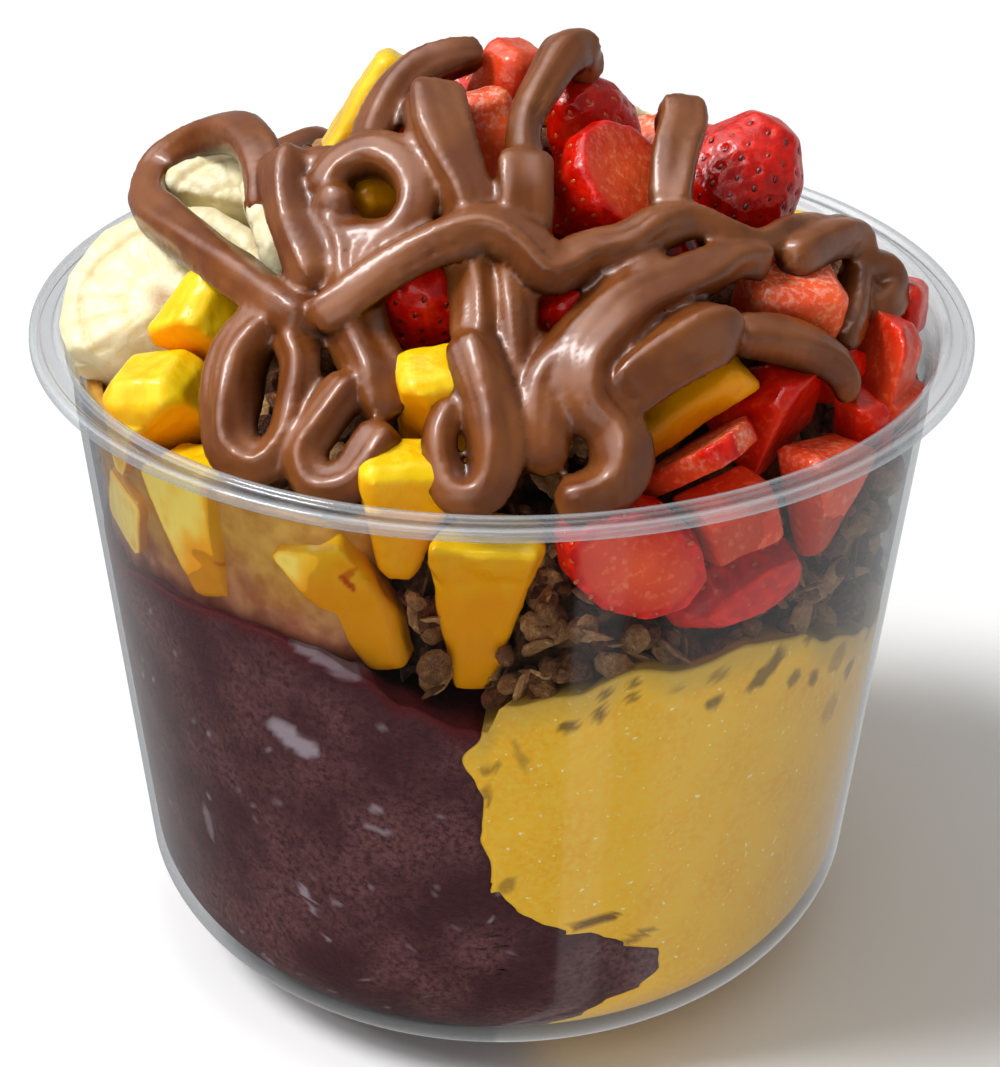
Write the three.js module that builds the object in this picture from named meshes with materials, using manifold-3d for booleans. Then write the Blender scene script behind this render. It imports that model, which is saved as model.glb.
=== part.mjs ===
// An acai bowl: a clear round tub, two frozen purees side by side, a bed of granola,
// cut mango, strawberry and banana heaped above the rim, and thick chocolate spread piped over the heap.
// Millimetres, +Z up, origin at the middle of the tub's foot. -Y is the front.
import * as THREE from "three";
import { ConvexGeometry } from "three/addons/geometries/ConvexGeometry.js";
import { mergeVertices } from "three/addons/utils/BufferGeometryUtils.js";
import Module from "manifold-3d";

const wasm = await Module();
wasm.setup();

// Tub
const RIM_HEIGHT = 87.5;
const RIM_RADIUS = 59;
const RIM_INNER_RADIUS = 55.7;
const FLANGE_THICK = 1.1;
const LIP_DROP = 1.6; // the flange's turned-down edge
const LIP_WIDTH = 1;
const STEP_DROP = 2.4; // the stacking step, below the flange
const STEP_WIDTH = 0.4;
const EASED_EDGE = 0.5;
const WALL = 0.8;
const WALL_TOP_RADIUS = 54.7;
const WALL_LOW_RADIUS = 46.9;
const CORNER_HEIGHT = 14.5; // where the straight taper turns into the rounded foot
const CORNER_POWER = 1.635;
const FOOT_RADIUS = 32.7;
const FOOT_WIDTH = 2.5;
const FOOT_LIFT = 0.8;
const FLOOR_THICK = 1.2;
const AROUND = 32; // flats round the tub and what fills it
const GAP = 0.3; // between pieces that touch

// Heap above the rim: an off-centre mound that strands and fruit are set on
const HEAP_RISE = 35;
const HEAP_CENTRE_Y = 8;
const HEAP_REACH = 56;
const HEAP_REACH_BACK = 36; // it falls off faster behind the peak
const BED_LEVEL = 86; // of the fruit behind the mound, just under the rim
const GRANOLA_DEPTH = 13; // from the outside of the fruit down to the granola
const GRANOLA_INSET = 3.2; // of the granola's core from the wall

// Level of the purees where they meet the wall: [degrees from the front, +X side positive; height]
const LEVEL = [[-180, 56], [-140, 61], [-100, 59], [-67, 62], [-43, 66.4], [-27, 64.6], [-13, 60.2],
  [-4, 56.5], [2, 60.4], [24, 63.5], [37, 62.2], [50, 59], [71, 50], [90, 47], [130, 49], [180, 56]];
const LEVEL_MIDDLE = 58;
// Side of the mango sorbet towards the acai, along the front wall and the back wall: [height, x]
const SEAM_FRONT = [[0, 4], [7, 9], [12.5, 15.5], [16.5, 21.5], [19.5, 21], [24.5, 13], [29, 3], [34, -1],
  [46, -2], [75, -2.2]];
const SEAM_BACK = [[0, -6], [12, -10], [24, -4], [38, 5], [50, 9], [75, 8]];
const SEAM_HALF_DEPTH = 52;

const COLOURS = {
  tub: 0xe9edef, acai: 0x43262e, sorbet: 0xd3a944, granola: 0x8a5a35,
  mango: 0xf6b800, strawberry: 0xc8241a, banana: 0xf3e6b4, chocolate: 0x7a5343,
};

// Plain helpers for solids
const radians = THREE.MathUtils.degToRad;

function solidOf(geometry) {
  const bare = geometry.clone();
  bare.deleteAttribute("normal");
  bare.deleteAttribute("uv");
  const welded = mergeVertices(bare, 1e-4);
  const points = welded.attributes.position.array;
  const corners = [];
  for (let i = 0; i < welded.index.count; i += 3) {
    const [a, b, c] = [0, 1, 2].map((k) => welded.index.getX(i + k));
    if (a !== b && b !== c && c !== a) corners.push(a, b, c);
  }
  return new wasm.Manifold(new wasm.Mesh({
    numProp: 3, vertProperties: new Float32Array(points), triVerts: new Uint32Array(corners),
  }));
}

function geometryOf(solid) {
  const mesh = solid.getMesh();
  const geometry = new THREE.BufferGeometry();
  geometry.setAttribute("position", new THREE.BufferAttribute(new Float32Array(mesh.vertProperties), 3));
  geometry.setIndex(new THREE.BufferAttribute(new Uint32Array(mesh.triVerts), 1));
  return geometry;
}

const largest = (solid) => solid.decompose().reduce((a, b) => (a.volume() > b.volume() ? a : b));
const cutAll = (solid, tools) => tools.reduce((left, tool) => left.subtract(tool), solid);
const joinAll = (solids) => solids.reduce((whole, next) => whole.add(next));

function turned(profile, segments = AROUND) {
  const points = profile.map(([r, z]) => new THREE.Vector2(r, z));
  return new THREE.LatheGeometry(points, segments).rotateX(Math.PI / 2);
}

// Value of a smooth curve through [input, value] pairs in rising order of input
function between(pairs, input) {
  const next = Math.max(1, pairs.findIndex(([at]) => at >= input));
  const [x0, y0] = pairs[next - 1];
  const [x1, y1] = pairs[next];
  const along = THREE.MathUtils.smoothstep(input, x0, x1);
  return y0 + (y1 - y0) * along;
}

// Tub
function wallRadius(z) {
  if (z >= CORNER_HEIGHT) {
    const up = (z - CORNER_HEIGHT) / (RIM_HEIGHT - FLANGE_THICK - CORNER_HEIGHT);
    return WALL_LOW_RADIUS + (WALL_TOP_RADIUS - WALL_LOW_RADIUS) * up;
  }
  const rise = (1 - z / CORNER_HEIGHT) ** (CORNER_POWER / 2);
  const out = Math.sqrt(Math.max(0, 1 - rise * rise)) ** (2 / CORNER_POWER);
  return FOOT_RADIUS + (WALL_LOW_RADIUS - FOOT_RADIUS) * out;
}

const CORNER_LEVELS = [0.9, 3.5, 8, CORNER_HEIGHT];

// Profile of the space in the tub, drawn in by inset, up to a height
function innerProfile(inset, top) {
  const floor = FOOT_LIFT + FLOOR_THICK + inset;
  const side = CORNER_LEVELS.map((z) => [wallRadius(z) - WALL - inset, z + floor]);
  const flat = wallRadius(0) - WALL - inset;
  return [[0, floor], [flat, floor], ...side, [wallRadius(top) - WALL - inset, top], [0, top]];
}

function tubProfile(grow = 0) {
  const under = RIM_HEIGHT - FLANGE_THICK - grow;
  const step = under - STEP_DROP;
  const lip = under - LIP_DROP + FLANGE_THICK;
  const outer = CORNER_LEVELS.map((z) => [wallRadius(z) + grow, z]);
  const inner = innerProfile(grow, step).slice(0, -1).reverse();
  return [
    [0, FOOT_LIFT], [FOOT_RADIUS - FOOT_WIDTH, FOOT_LIFT], [FOOT_RADIUS - FOOT_WIDTH, 0], [FOOT_RADIUS, 0],
    ...outer,
    [wallRadius(step) - STEP_WIDTH + grow, step], [WALL_TOP_RADIUS + grow, step + EASED_EDGE],
    [WALL_TOP_RADIUS + grow, under],
    [RIM_RADIUS - LIP_WIDTH - grow, under], [RIM_RADIUS - LIP_WIDTH - grow, lip],
    [RIM_RADIUS + grow, lip], [RIM_RADIUS + grow, RIM_HEIGHT - EASED_EDGE],
    [RIM_RADIUS - EASED_EDGE, RIM_HEIGHT + grow], [RIM_INNER_RADIUS, RIM_HEIGHT + grow],
    [WALL_TOP_RADIUS - WALL - grow, RIM_HEIGHT - FLANGE_THICK - EASED_EDGE],
    ...inner,
  ];
}

// Heap surface
function heapHeight(x, y) {
  const along = y - HEAP_CENTRE_Y;
  const reach = along > 0 ? HEAP_REACH_BACK : HEAP_REACH;
  const mound = RIM_HEIGHT + HEAP_RISE * (1 - (x / HEAP_REACH) ** 2 - (along / reach) ** 2);
  return along > 0 ? Math.max(mound, BED_LEVEL) : mound;
}

// Purees: what the tub holds, under a wavy level, on one side of the seam between them
const azimuth = (x, y) => THREE.MathUtils.radToDeg(Math.atan2(x, -y));

function underLevel(grow) {
  const block = new THREE.CylinderGeometry(RIM_RADIUS, RIM_RADIUS, RIM_HEIGHT, AROUND, 1);
  block.rotateX(Math.PI / 2).translate(0, 0, -RIM_HEIGHT / 2 + grow);
  const at = block.attributes.position;
  for (let i = 0; i < at.count; i += 1) {
    if (at.getZ(i) < -1) continue;
    const middle = Math.hypot(at.getX(i), at.getY(i)) < 1;
    const level = middle ? LEVEL_MIDDLE : between(LEVEL, azimuth(at.getX(i), at.getY(i)));
    at.setZ(i, level + grow);
  }
  return solidOf(block);
}

function seamAt(y, z) {
  const back = THREE.MathUtils.clamp((y + SEAM_HALF_DEPTH) / (2 * SEAM_HALF_DEPTH), 0, 1);
  return between(SEAM_FRONT, z) * (1 - back) + between(SEAM_BACK, z) * back;
}

function sorbetSide(offset) {
  const [depth, height] = [2 * RIM_RADIUS, 74];
  const block = new THREE.BoxGeometry(RIM_RADIUS, depth, height, 1, 2, 15);
  block.translate(RIM_RADIUS, 0, height / 2);
  const at = block.attributes.position;
  for (let i = 0; i < at.count; i += 1) {
    if (at.getX(i) < RIM_RADIUS) at.setX(i, seamAt(at.getY(i), at.getZ(i)) + offset);
  }
  return solidOf(block);
}

const tubSpace = solidOf(turned(innerProfile(GAP, 80)));
const filled = tubSpace.intersect(underLevel(0));
const acai = largest(filled.subtract(sorbetSide(-GAP / 2)));
const sorbet = largest(filled.intersect(sorbetSide(GAP / 2)));
const pureeKeepOut = underLevel(GAP);
const tubKeepOut = solidOf(turned(tubProfile(GAP)));

// Fruit. Each piece says its middle, its size and its turn in degrees about X, Y and Z, in that order.
// A knife-cut piece: width, depth, height, and how much of the width and depth is left at top and foot.
const BOX_CORNERS = [-1, 1].flatMap((x) => [-1, 1].flatMap((y) => [-1, 1].map((z) => [x, y, z])));
const BEVEL_SHARE = 0.16; // of the shortest side

function knifeCut([w, d, h], { top = 1, foot = 1, grow = 0 }) {
  const bevel = Math.min(w, d, h) * BEVEL_SHARE;
  const corners = [];
  for (const [sx, sy, sz] of BOX_CORNERS) {
    const narrow = sz > 0 ? top : foot;
    const [x, y, z] = [sx * (w / 2 * narrow + grow), sy * (d / 2 * narrow + grow), sz * (h / 2 + grow)];
    const bx = sx * Math.min(bevel, Math.abs(x) / 2);
    const by = sy * Math.min(bevel, Math.abs(y) / 2);
    const bz = sz * bevel;
    corners.push([x - bx, y - by, z], [x - bx, y, z - bz], [x, y - by, z - bz]);
  }
  return new ConvexGeometry(corners.map((c) => new THREE.Vector3(...c)));
}

// A strawberry on its tip: width, depth, length. Cuts are planes [nx, ny, nz, distance from its middle].
const BERRY_SIDES = 10;
const BERRY_SHAPE = [[0, -0.5], [0.22, -0.45], [0.42, -0.2], [0.5, 0.15], [0.42, 0.4], [0.2, 0.5], [0, 0.5]];

function berry([w, d, length], { cuts = [], grow = 0 }) {
  const whole = turned(BERRY_SHAPE, BERRY_SIDES);
  whole.scale(w + 2 * grow, d + 2 * grow, length + 2 * grow);
  const keep = cuts.map((cut) => halfSpace(cut, grow));
  return geometryOf(keep.reduce((left, half) => left.intersect(half), solidOf(whole)));
}

const ENDLESS = 400; // a block this big reaches past everything

function halfSpace([nx, ny, nz, distance], grow) {
  const block = new THREE.BoxGeometry(ENDLESS, ENDLESS, ENDLESS).translate(0, 0, -ENDLESS / 2);
  const normal = new THREE.Vector3(nx, ny, nz).normalize();
  block.applyQuaternion(new THREE.Quaternion().setFromUnitVectors(new THREE.Vector3(0, 0, 1), normal));
  block.translate(...normal.multiplyScalar(distance + grow).toArray());
  return solidOf(block);
}

// A slice of banana: long way, short way, thickness
const SLICE_SIDES = 12;
const SLICE_EDGE = 1.2;

function bananaSlice([long, short, thick], { grow = 0 }) {
  const half = thick / 2 + grow;
  const rim = 0.5 - SLICE_EDGE / long;
  const side = half - SLICE_EDGE;
  const profile = [[0, -half], [rim, -half], [0.5, -side], [0.5, side], [rim, half], [0, half]];
  return turned(profile, SLICE_SIDES).scale(long + 2 * grow, short + 2 * grow, 1);
}

const HALF = [0, 1, 0, 1]; // a berry cut lengthwise through the middle
const FLAT_TOP = [0, 0, 1, 5]; // its hull sliced off
const SIDE = [1, 0, 0, 1.5];

// Pieces that rest against the wall and show through it
const WALL_FRUIT = {
  mango_front: [knifeCut, [-11, -46, 82.5], [12.5, 8.5, 17], [6, 4, 14], { foot: 0.4 }],
  mango_wedge: [knifeCut, [-2.5, -46.5, 69], [14, 7.5, 27], [6, 4, 0], { foot: 0.2 }],
  mango_red_edge: [knifeCut, [-16, -44.4, 71], [12.5, 7.5, 20], [6, -20, -19], { foot: 0.5 }],
  mango_wall_slab: [knifeCut, [-23.8, -41, 75.5], [7, 7, 11], [6, -6, -30], { foot: 0.7 }],
  mango_wall_left: [knifeCut, [-33.5, -35, 75], [13, 8, 18], [4, -14, -42], { foot: 0.6 }],
  mango_wall_bit: [knifeCut, [-42.5, -24, 72], [9, 6, 9], [0, 20, -60], {}],
  strawberry_wall_slice: [berry, [14, -44.5, 78.5], [20, 14, 17], [90, 35, 14], { cuts: [[0, 0, -1, 0.5]] }],
  strawberry_wall_strip: [knifeCut, [24.5, -41.5, 79.5], [14, 7, 8], [0, -12, 30], {}],
  strawberry_wall_low: [berry, [26.5, -39.5, 70.5], [10, 9, 18], [0, 78, 34], { cuts: [[0, 1, 0, 2]] }],
  strawberry_wall_wedge: [knifeCut, [37, -33, 78], [12, 7, 14], [0, 12, 48], { foot: 0.3 }],
};

// Pieces heaped above, front first
const HEAP_FRUIT = {
  mango_left: [knifeCut, [-39.5, -26, 84.5], [14, 13, 15], [12, -14, -22], { top: 0.8 }],
  mango_left_small: [knifeCut, [-34.5, -20, 95.5], [12, 10, 12], [-8, 24, 24], { top: 0.6 }],
  mango_strip: [knifeCut, [-7.5, -38, 92], [8.5, 8, 14], [14, -8, 14], {}],
  mango_slice: [knifeCut, [20, -33.5, 92], [18, 10, 4.5], [30, -28, 22], { top: 0.8 }],
  mango_ring: [knifeCut, [-15, -14, 107], [11, 10, 10], [12, 10, 30], {}],
  mango_top: [knifeCut, [-16.5, 0, 113.5], [6, 8, 15.5], [-6, 30, 0], { top: 0.8 }],
  strawberry_seeded: [berry, [21.5, -38, 86], [16, 14, 16], [30, 58, 10], { cuts: [[0, -1, 0, 5]] }],
  strawberry_front: [knifeCut, [32, -30, 87], [17, 12, 13], [14, 6, 26], { top: 0.75 }],
  strawberry_small: [knifeCut, [41, -27, 84.5], [8, 7, 8], [10, 0, 40], {}],
  strawberry_under: [berry, [36, -18, 89], [14, 12, 14], [60, 20, 30], { cuts: [HALF] }],
  strawberry_rim: [knifeCut, [44.5, -17, 88], [13, 12, 13], [16, 10, 62], { top: 0.7 }],
  strawberry_rim_small: [knifeCut, [49, -6.5, 91], [7, 6, 7], [0, 10, 70], {}],
  strawberry_dice: [knifeCut, [34, -20, 97.5], [12, 9, 8], [10, 6, 14], {}],
  strawberry_big: [berry, [12, -15, 109], [17, 16, 19], [38, 34, 20], { cuts: [FLAT_TOP] }],
  strawberry_round: [berry, [29, -3, 106], [16.5, 16, 18], [16, -148, 0], { cuts: [[-0.3, 1, 0.2, 4]] }],
  strawberry_peak: [knifeCut, [0.5, -2, 117.5], [8.5, 8.5, 11], [8, 14, 38], { top: 0.85 }],
  strawberry_peak_slice: [knifeCut, [-1.5, -10.5, 113], [9, 7, 14], [-12, -8, 20], { top: 0.75 }],
  strawberry_peak_back: [berry, [10, -2.5, 113], [13, 12, 14], [0, 150, 40], { cuts: [HALF] }],
  strawberry_pink: [knifeCut, [15, 1.5, 109.5], [10, 9, 9], [0, 20, 30], { top: 0.8 }],
  strawberry_glimpse: [knifeCut, [-11.5, -5, 112.5], [8, 8, 9], [0, 0, 20], {}],
  strawberry_shade_left: [berry, [-9.5, -25.5, 99.5], [14, 12, 15], [20, 20, 0], { cuts: [HALF] }],
  strawberry_shade_mid: [berry, [8.5, -26.5, 99.5], [14, 13, 15], [10, -30, 0], { cuts: [FLAT_TOP] }],
  strawberry_shade_right: [berry, [16.5, -20, 102], [12, 12, 14], [0, 70, 0], { cuts: [HALF] }],
  banana_long: [bananaSlice, [-39.5, -11.5, 91.5], [31, 27, 8], [44, 0, -32], {}],
  banana_loop: [bananaSlice, [-32, -3, 99.5], [24, 21, 7], [50, 0, -18], {}],
  banana_edge: [bananaSlice, [-26.5, -13, 100.5], [20, 20, 6], [0, 78, 12], {}],
  mango_crown: [knifeCut, [5, 12, 108.5], [13, 11, 11], [8, -12, 20], { top: 0.8 }],
  strawberry_crown: [berry, [-5, 10, 108.5], [15, 14, 17], [-20, 60, 20], { cuts: [HALF] }],
  strawberry_crown_right: [knifeCut, [22, 11, 103.5], [13, 11, 10], [-8, 22, 35], { top: 0.75 }],
  mango_crown_right: [knifeCut, [31, 12, 93], [12, 10, 9], [0, 34, 15], { top: 0.85 }],
  mango_back: [knifeCut, [6, 22, 102.5], [13, 12, 12], [10, 15, 30], { top: 0.8 }],
  mango_back_right: [knifeCut, [38, 20, 86], [13, 11, 12], [0, 28, 70], {}],
  mango_back_left: [knifeCut, [-32, 34, 88], [14, 12, 12], [-20, -16, 40], { top: 0.8 }],
  strawberry_back: [berry, [-8, 20, 104], [17, 16, 19], [-30, 20, 0], { cuts: [FLAT_TOP] }],
  strawberry_back_left: [berry, [-43, 18, 83.5], [15, 14, 16], [-20, -60, 0], { cuts: [HALF] }],
  strawberry_back_low: [berry, [-13, 40, 89], [17, 15, 18], [-40, -20, 20], { cuts: [[0, 0, 1, 4]] }],
  strawberry_back_right: [berry, [24, 37, 88], [17, 15, 18], [-50, 30, 0], { cuts: [SIDE] }],
  banana_back: [bananaSlice, [-31, 26, 90], [25, 24, 8], [-28, -24, 0], {}],
  banana_back_right: [bananaSlice, [23, 22, 98.5], [25, 24, 8], [-22, 24, 0], {}],
};

function placed([shape, at, size, turn, options], grow = 0) {
  const geometry = shape(size, { ...options, grow });
  const matrix = placement(at, turn);
  return solidOf(geometry.applyMatrix4(matrix));
}

function placement(at, turn) {
  const euler = new THREE.Euler(...turn.map(radians), "ZYX");
  return new THREE.Matrix4().makeRotationFromEuler(euler).setPosition(...at);
}

// Chocolate spread, piped thick. Each strand: [x, y, lift above the heap, width] at the places it passes.
const STRANDS = {
  loop: [[-28.5, -17.5, 0, 4.5], [-28, -14, 1, 5], [-29.5, -8, 1.5, 5], [-33, -1, 1.5, 4.5],
    [-38, 4, 1.5, 4.5], [-42.5, 5.5, 1.5, 5], [-43.5, -1, 1.5, 5], [-40.5, -8.5, 1, 5], [-35, -18, 1, 5],
    [-30, -25, 1.5, 5], [-25.5, -30.5, 2.5, 5.5], [-21.5, -34, 3, 5]],
  sweep: [[-21.5, -34, 3, 5], [-17.5, -33.5, 3.5, 5], [-12, -32, 4, 5], [-7, -31, 4.5, 5],
    [-2, -30, 4.5, 5], [2, -31, 4, 5], [5.5, -32.5, 3, 5], [10, -29.5, 2, 4.5], [14, -28, 2, 5],
    [18, -25, 2.5, 4.6], [21.5, -23, 2.5, 4], [25.6, -22.5, 2.8, 3.2], [29.5, -21, 2.4, 2.8],
    [34, -15.5, 1.6, 3.2], [38, -9.5, 0.5, 2.5]],
  right_arc: [[33, -21, 2, 4.5], [36, -17, 2, 5], [39.5, -12, 2, 5], [42.5, -8.5, 1.5, 4.5],
    [43.5, -9, 0, 4], [42, -13.5, -1.5, 4]],
  far_right: [[43, -10.5, 0, 3.5], [46, -8, 0.5, 5], [47.5, -8, 0, 4.5], [46, -12.5, -0.5, 4],
    [44, -15, -1.5, 3.5]],
  right_hook: [[26.2, -32.8, 3, 4], [32.2, -29.2, 1.5, 5], [36.2, -27.5, 1, 5], [39.1, -27, 1, 4.5],
    [40.6, -27.2, 0, 3.5], [40.4, -28.5, -1, 2]],
  right_drop: [[43.5, -9, 0.5, 3.5], [41.5, -18.5, -1, 4], [40, -22.5, -0.5, 4]],
  s_bend: [[31, -21, 1, 4], [27, -24, 2, 4.5], [23.5, -28, 3, 5], [19.5, -31, 3, 5.5], [15, -34, 3, 6],
    [12, -37, 3, 6.5], [9.5, -40, 3, 6.5], [10, -43, 3, 6.5], [12.5, -44.5, 3, 6], [13.5, -46.5, 3, 6],
    [12.5, -48, 2, 5.5], [9, -49.5, 2, 5], [6, -49.5, 1.5, 4.5]],
  s_fold: [[12, -42.5, 3, 6], [15, -40.5, 3.5, 6.8], [19.5, -37.5, 4, 7.4], [23.5, -35, 4.5, 7.4],
    [27, -33.5, 4, 6]],
  s_back: [[19, -27.5, 1.5, 4.5], [15.5, -30, 1.5, 5], [12.5, -33, 1, 5], [8.5, -37, 0.5, 6],
    [5, -40.5, 0.5, 6], [4.5, -44, 0.5, 6], [5, -47.5, 0.5, 5]],
  front_loop: [[-4, -37.5, 2, 4.5], [-2.5, -41.5, 3, 5.2], [-1, -45, 3, 5.5], [-0.5, -48, 3, 5.2],
    [-2, -50, 2.5, 4.5], [-5, -50, 2.5, 4], [-6.5, -48, 2.5, 3.6], [-6.8, -45.5, 2.5, 3.4],
    [-5.2, -42.5, 1.5, 3.4]],
  mid_left: [[-8.8, -12, 4, 6.5], [-7.5, -18.5, 4, 7], [-6, -22, 3.5, 6.5], [-4, -26, 2.5, 6],
    [-3.5, -29, 0.5, 5.5], [-3, -32, -0.5, 5.5], [-3, -38.5, 1, 5]],
  mid_right: [[2.4, -21.2, 3.6, 6.2], [2.5, -25.5, 3.5, 6], [2.5, -28, 1.5, 5.5], [1.5, -31, -0.5, 5],
    [1.5, -35.5, -0.5, 4.5], [2, -39.5, -1, 4.5], [2.5, -44, -1, 4]],
  top_left: [[-2.5, -3.2, 1.2, 3.5], [-6, -4.8, 1.8, 4.5], [-10, -6.5, 2, 5], [-13, -9.5, 2, 5],
    [-15, -13.5, 1.5, 4.5], [-16, -18.5, 2, 4.5]],
  top_right: [[2.5, -24, 3.5, 4], [2.5, -16.5, 3, 3.5], [5, -11, 3.5, 4.5], [7, -6.5, 3.5, 5.5],
    [9, -3.5, 2, 5], [10, -5, -0.5, 3.5]],
  right_post: [[20.5, -7.8, 3, 5.5], [21, -11.5, 3, 5.5], [20, -16, 2.5, 5.5], [19.5, -20.5, 2, 5],
    [19.5, -23, 2, 4.5]],
  left_post: [[-25, -13.5, 3.5, 5.5], [-25.3, -16.5, 3.2, 5.5], [-25, -20, 3, 4.8], [-24.3, -23, 3, 4.5],
    [-22.5, -27, 3, 5.5], [-20.5, -31, 2.5, 5.5]],
  ring: [[-21.5, -21, 2.5, 4.5], [-18.5, -18.5, 3, 4.5], [-14.5, -19, 3.5, 4.8], [-11, -22, 3.5, 4.8],
    [-10, -25.5, 3, 4.5], [-12, -27.5, 2, 4.5], [-16.5, -26.5, 1.5, 4.5], [-19.5, -25, 1, 4.5]],
  small_curl: [[-17, -31, 2.5, 4.5], [-15.5, -28.5, 2.5, 4], [-13, -28, 2.5, 4], [-11, -29, 2, 4]],
  lump: [[-24, -15, 2, 4], [-21.5, -15.5, 1.5, 4], [-18, -17, 1.5, 4]],
  left_under: [[-20.5, -21.5, 1, 4.5], [-18, -26.5, 1, 6], [-17.5, -30.5, 0.5, 6], [-16, -34.5, -1, 6],
    [-14, -38, -1, 6], [-13, -42, -0.5, 4]],
  left_u: [[-26.5, -30.5, 2, 5.2], [-30, -32.5, 2, 5.6], [-31, -36, 2, 5.8], [-30.5, -40.5, 2, 5.4],
    [-27, -43, 2, 4.5], [-24.5, -42, 2, 4], [-23.5, -39.5, 2, 3.6], [-23, -36, 2, 3.8], [-24.5, -33, 2, 4]],
  front_u: [[-16.5, -38.5, 1, 4.5], [-20, -42, 2, 4.5], [-22, -44, 2, 4.5], [-20.5, -46.5, 2, 4.5],
    [-17, -47, 2, 4.5], [-14.5, -45.5, 2, 5], [-12.5, -43.5, 1.5, 4.8]],
  ring_end: [[-16.9, -23.5, 3, 4], [-19.1, -22.8, 3, 4.8], [-21, -21, 2.5, 4.5]],
};

// Behind the peak the spread goes to and fro: [start, end, width of a bend, bends, lifts at start, middle and end]
const BACK_SWEEPS = {
  back_high: [[-23, 36], [24, 33], 6, 2, [0, -5, -7]],
  back_low: [[-26, 42], [27, 35], 5, 2, [0, -1, -5]],
  back_side: [[-42, 5], [-22, 43], 5, 1, [0, -8, 0]],
};
const BACK_WIDTH = 5.5;
const STRAND_SIDES = 6;
const STRAND_STEP = 5.5;
const FACET_SWELL = 1.07; // so that the flat-sided strand is as thick as a round one

function bendPoints([[x0, y0], [x1, y1], swing, bends, [first, middle, last]]) {
  const steps = bends * 4;
  const length = Math.hypot(x1 - x0, y1 - y0);
  const [sideX, sideY] = [-(y1 - y0) / length, (x1 - x0) / length];
  return Array.from({ length: steps + 1 }, (_, i) => {
    const along = i / steps;
    const swung = Math.sin(along * bends * 2 * Math.PI) * swing / 2;
    const [x, y] = [x0 + (x1 - x0) * along + sideX * swung, y0 + (y1 - y0) * along + sideY * swung];
    const lift = between([[0, first], [0.5, middle], [1, last]], along);
    return [x, y, lift, BACK_WIDTH];
  });
}

// A round strand along a smooth curve, its ends drawn in
function strand(waypoints, grow = 0) {
  const path = new THREE.CatmullRomCurve3(
    waypoints.map(([x, y, lift]) => new THREE.Vector3(x, y, heapHeight(x, y) + lift)), false, "centripetal");
  const steps = Math.max(3, Math.round(path.getLength() / STRAND_STEP));
  const frames = path.computeFrenetFrames(steps, false);
  const tube = new THREE.CylinderGeometry(1, 1, 1, STRAND_SIDES, steps);
  const at = tube.attributes.position;
  for (let i = 0; i < at.count; i += 1) {
    const step = Math.round((at.getY(i) + 0.5) * steps);
    const t = path.getUtoTmapping(step / steps);
    const place = t * (waypoints.length - 1);
    const from = Math.min(Math.floor(place), waypoints.length - 2);
    const width = THREE.MathUtils.lerp(waypoints[from][3], waypoints[from + 1][3], place - from);
    const end = step === 0 || step === steps ? 0.55 : 1;
    const radius = width / 2 * end * FACET_SWELL + grow;
    const point = path.getPoint(t)
      .addScaledVector(frames.normals[step], at.getX(i) * radius)
      .addScaledVector(frames.binormals[step], -at.getZ(i) * radius);
    at.setXYZ(i, point.x, point.y, point.z);
  }
  return solidOf(tube);
}

function drizzle(grow) {
  const routes = [...Object.values(STRANDS), ...Object.values(BACK_SWEEPS).map(bendPoints)];
  return joinAll(routes.map((route) => strand(route, grow)));
}

const chocolate = drizzle(0);
const chocolateKeepOut = drizzle(GAP);

// Granola: a core under the fruit, with oat flakes and clusters standing out of it behind the wall
const coreRadius = (z, grow) => wallRadius(z) - WALL - GRANOLA_INSET + grow;

const CORE_FOOT = 40; // inside the purees, which cut it off
const CORE_SIDES = 24;
const CORE_RINGS = 5;

function coreColumn(top, grow) {
  const [low, high] = [coreRadius(CORE_FOOT, grow), coreRadius(top, grow)];
  return solidOf(turned([[0, CORE_FOOT], [low, CORE_FOOT], [high, top], [0, top]], CORE_SIDES));
}

function coreMound(grow) {
  const reach = HEAP_REACH * 1.1;
  const rings = Array.from({ length: CORE_RINGS + 1 }, (_, i) => {
    const r = reach * (1 - i / CORE_RINGS);
    return [r, RIM_HEIGHT + HEAP_RISE * (1 - (r / HEAP_REACH) ** 2) - GRANOLA_DEPTH + grow];
  });
  const mound = turned([[0, 0], [reach, 0], ...rings], CORE_SIDES);
  const at = mound.attributes.position;
  for (let i = 0; i < at.count; i += 1) {
    if (at.getY(i) > 0) at.setY(i, at.getY(i) * HEAP_REACH_BACK / HEAP_REACH);
  }
  return solidOf(mound.translate(0, HEAP_CENTRE_Y, 0));
}

function granolaCore(grow) {
  const bed = coreColumn(BED_LEVEL - GRANOLA_DEPTH + grow, grow);
  return bed.add(coreColumn(RIM_HEIGHT + HEAP_RISE, grow).intersect(coreMound(grow)));
}

// Seeded draws, the same each time
function draws(seed) {
  let state = seed;
  return () => {
    state = (state * 16807) % 2147483647;
    return state / 2147483647;
  };
}

// An oat flake or a baked cluster: [length, width, thickness], standing half out of the core
const FLAKE = [6, 4, 1.4];
const CLUSTER = [5, 4, 3.6];
const FLAKE_SHARE = 0.6;
const FLAKE_ROWS = 4;
const FLAKES_A_ROW = 17;
const FIRST_ROW = 3.8; // above the purees
const ROW_RISE = 3.6;
const FLAKE_LEAN = 60; // degrees, between the furthest two ways

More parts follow.
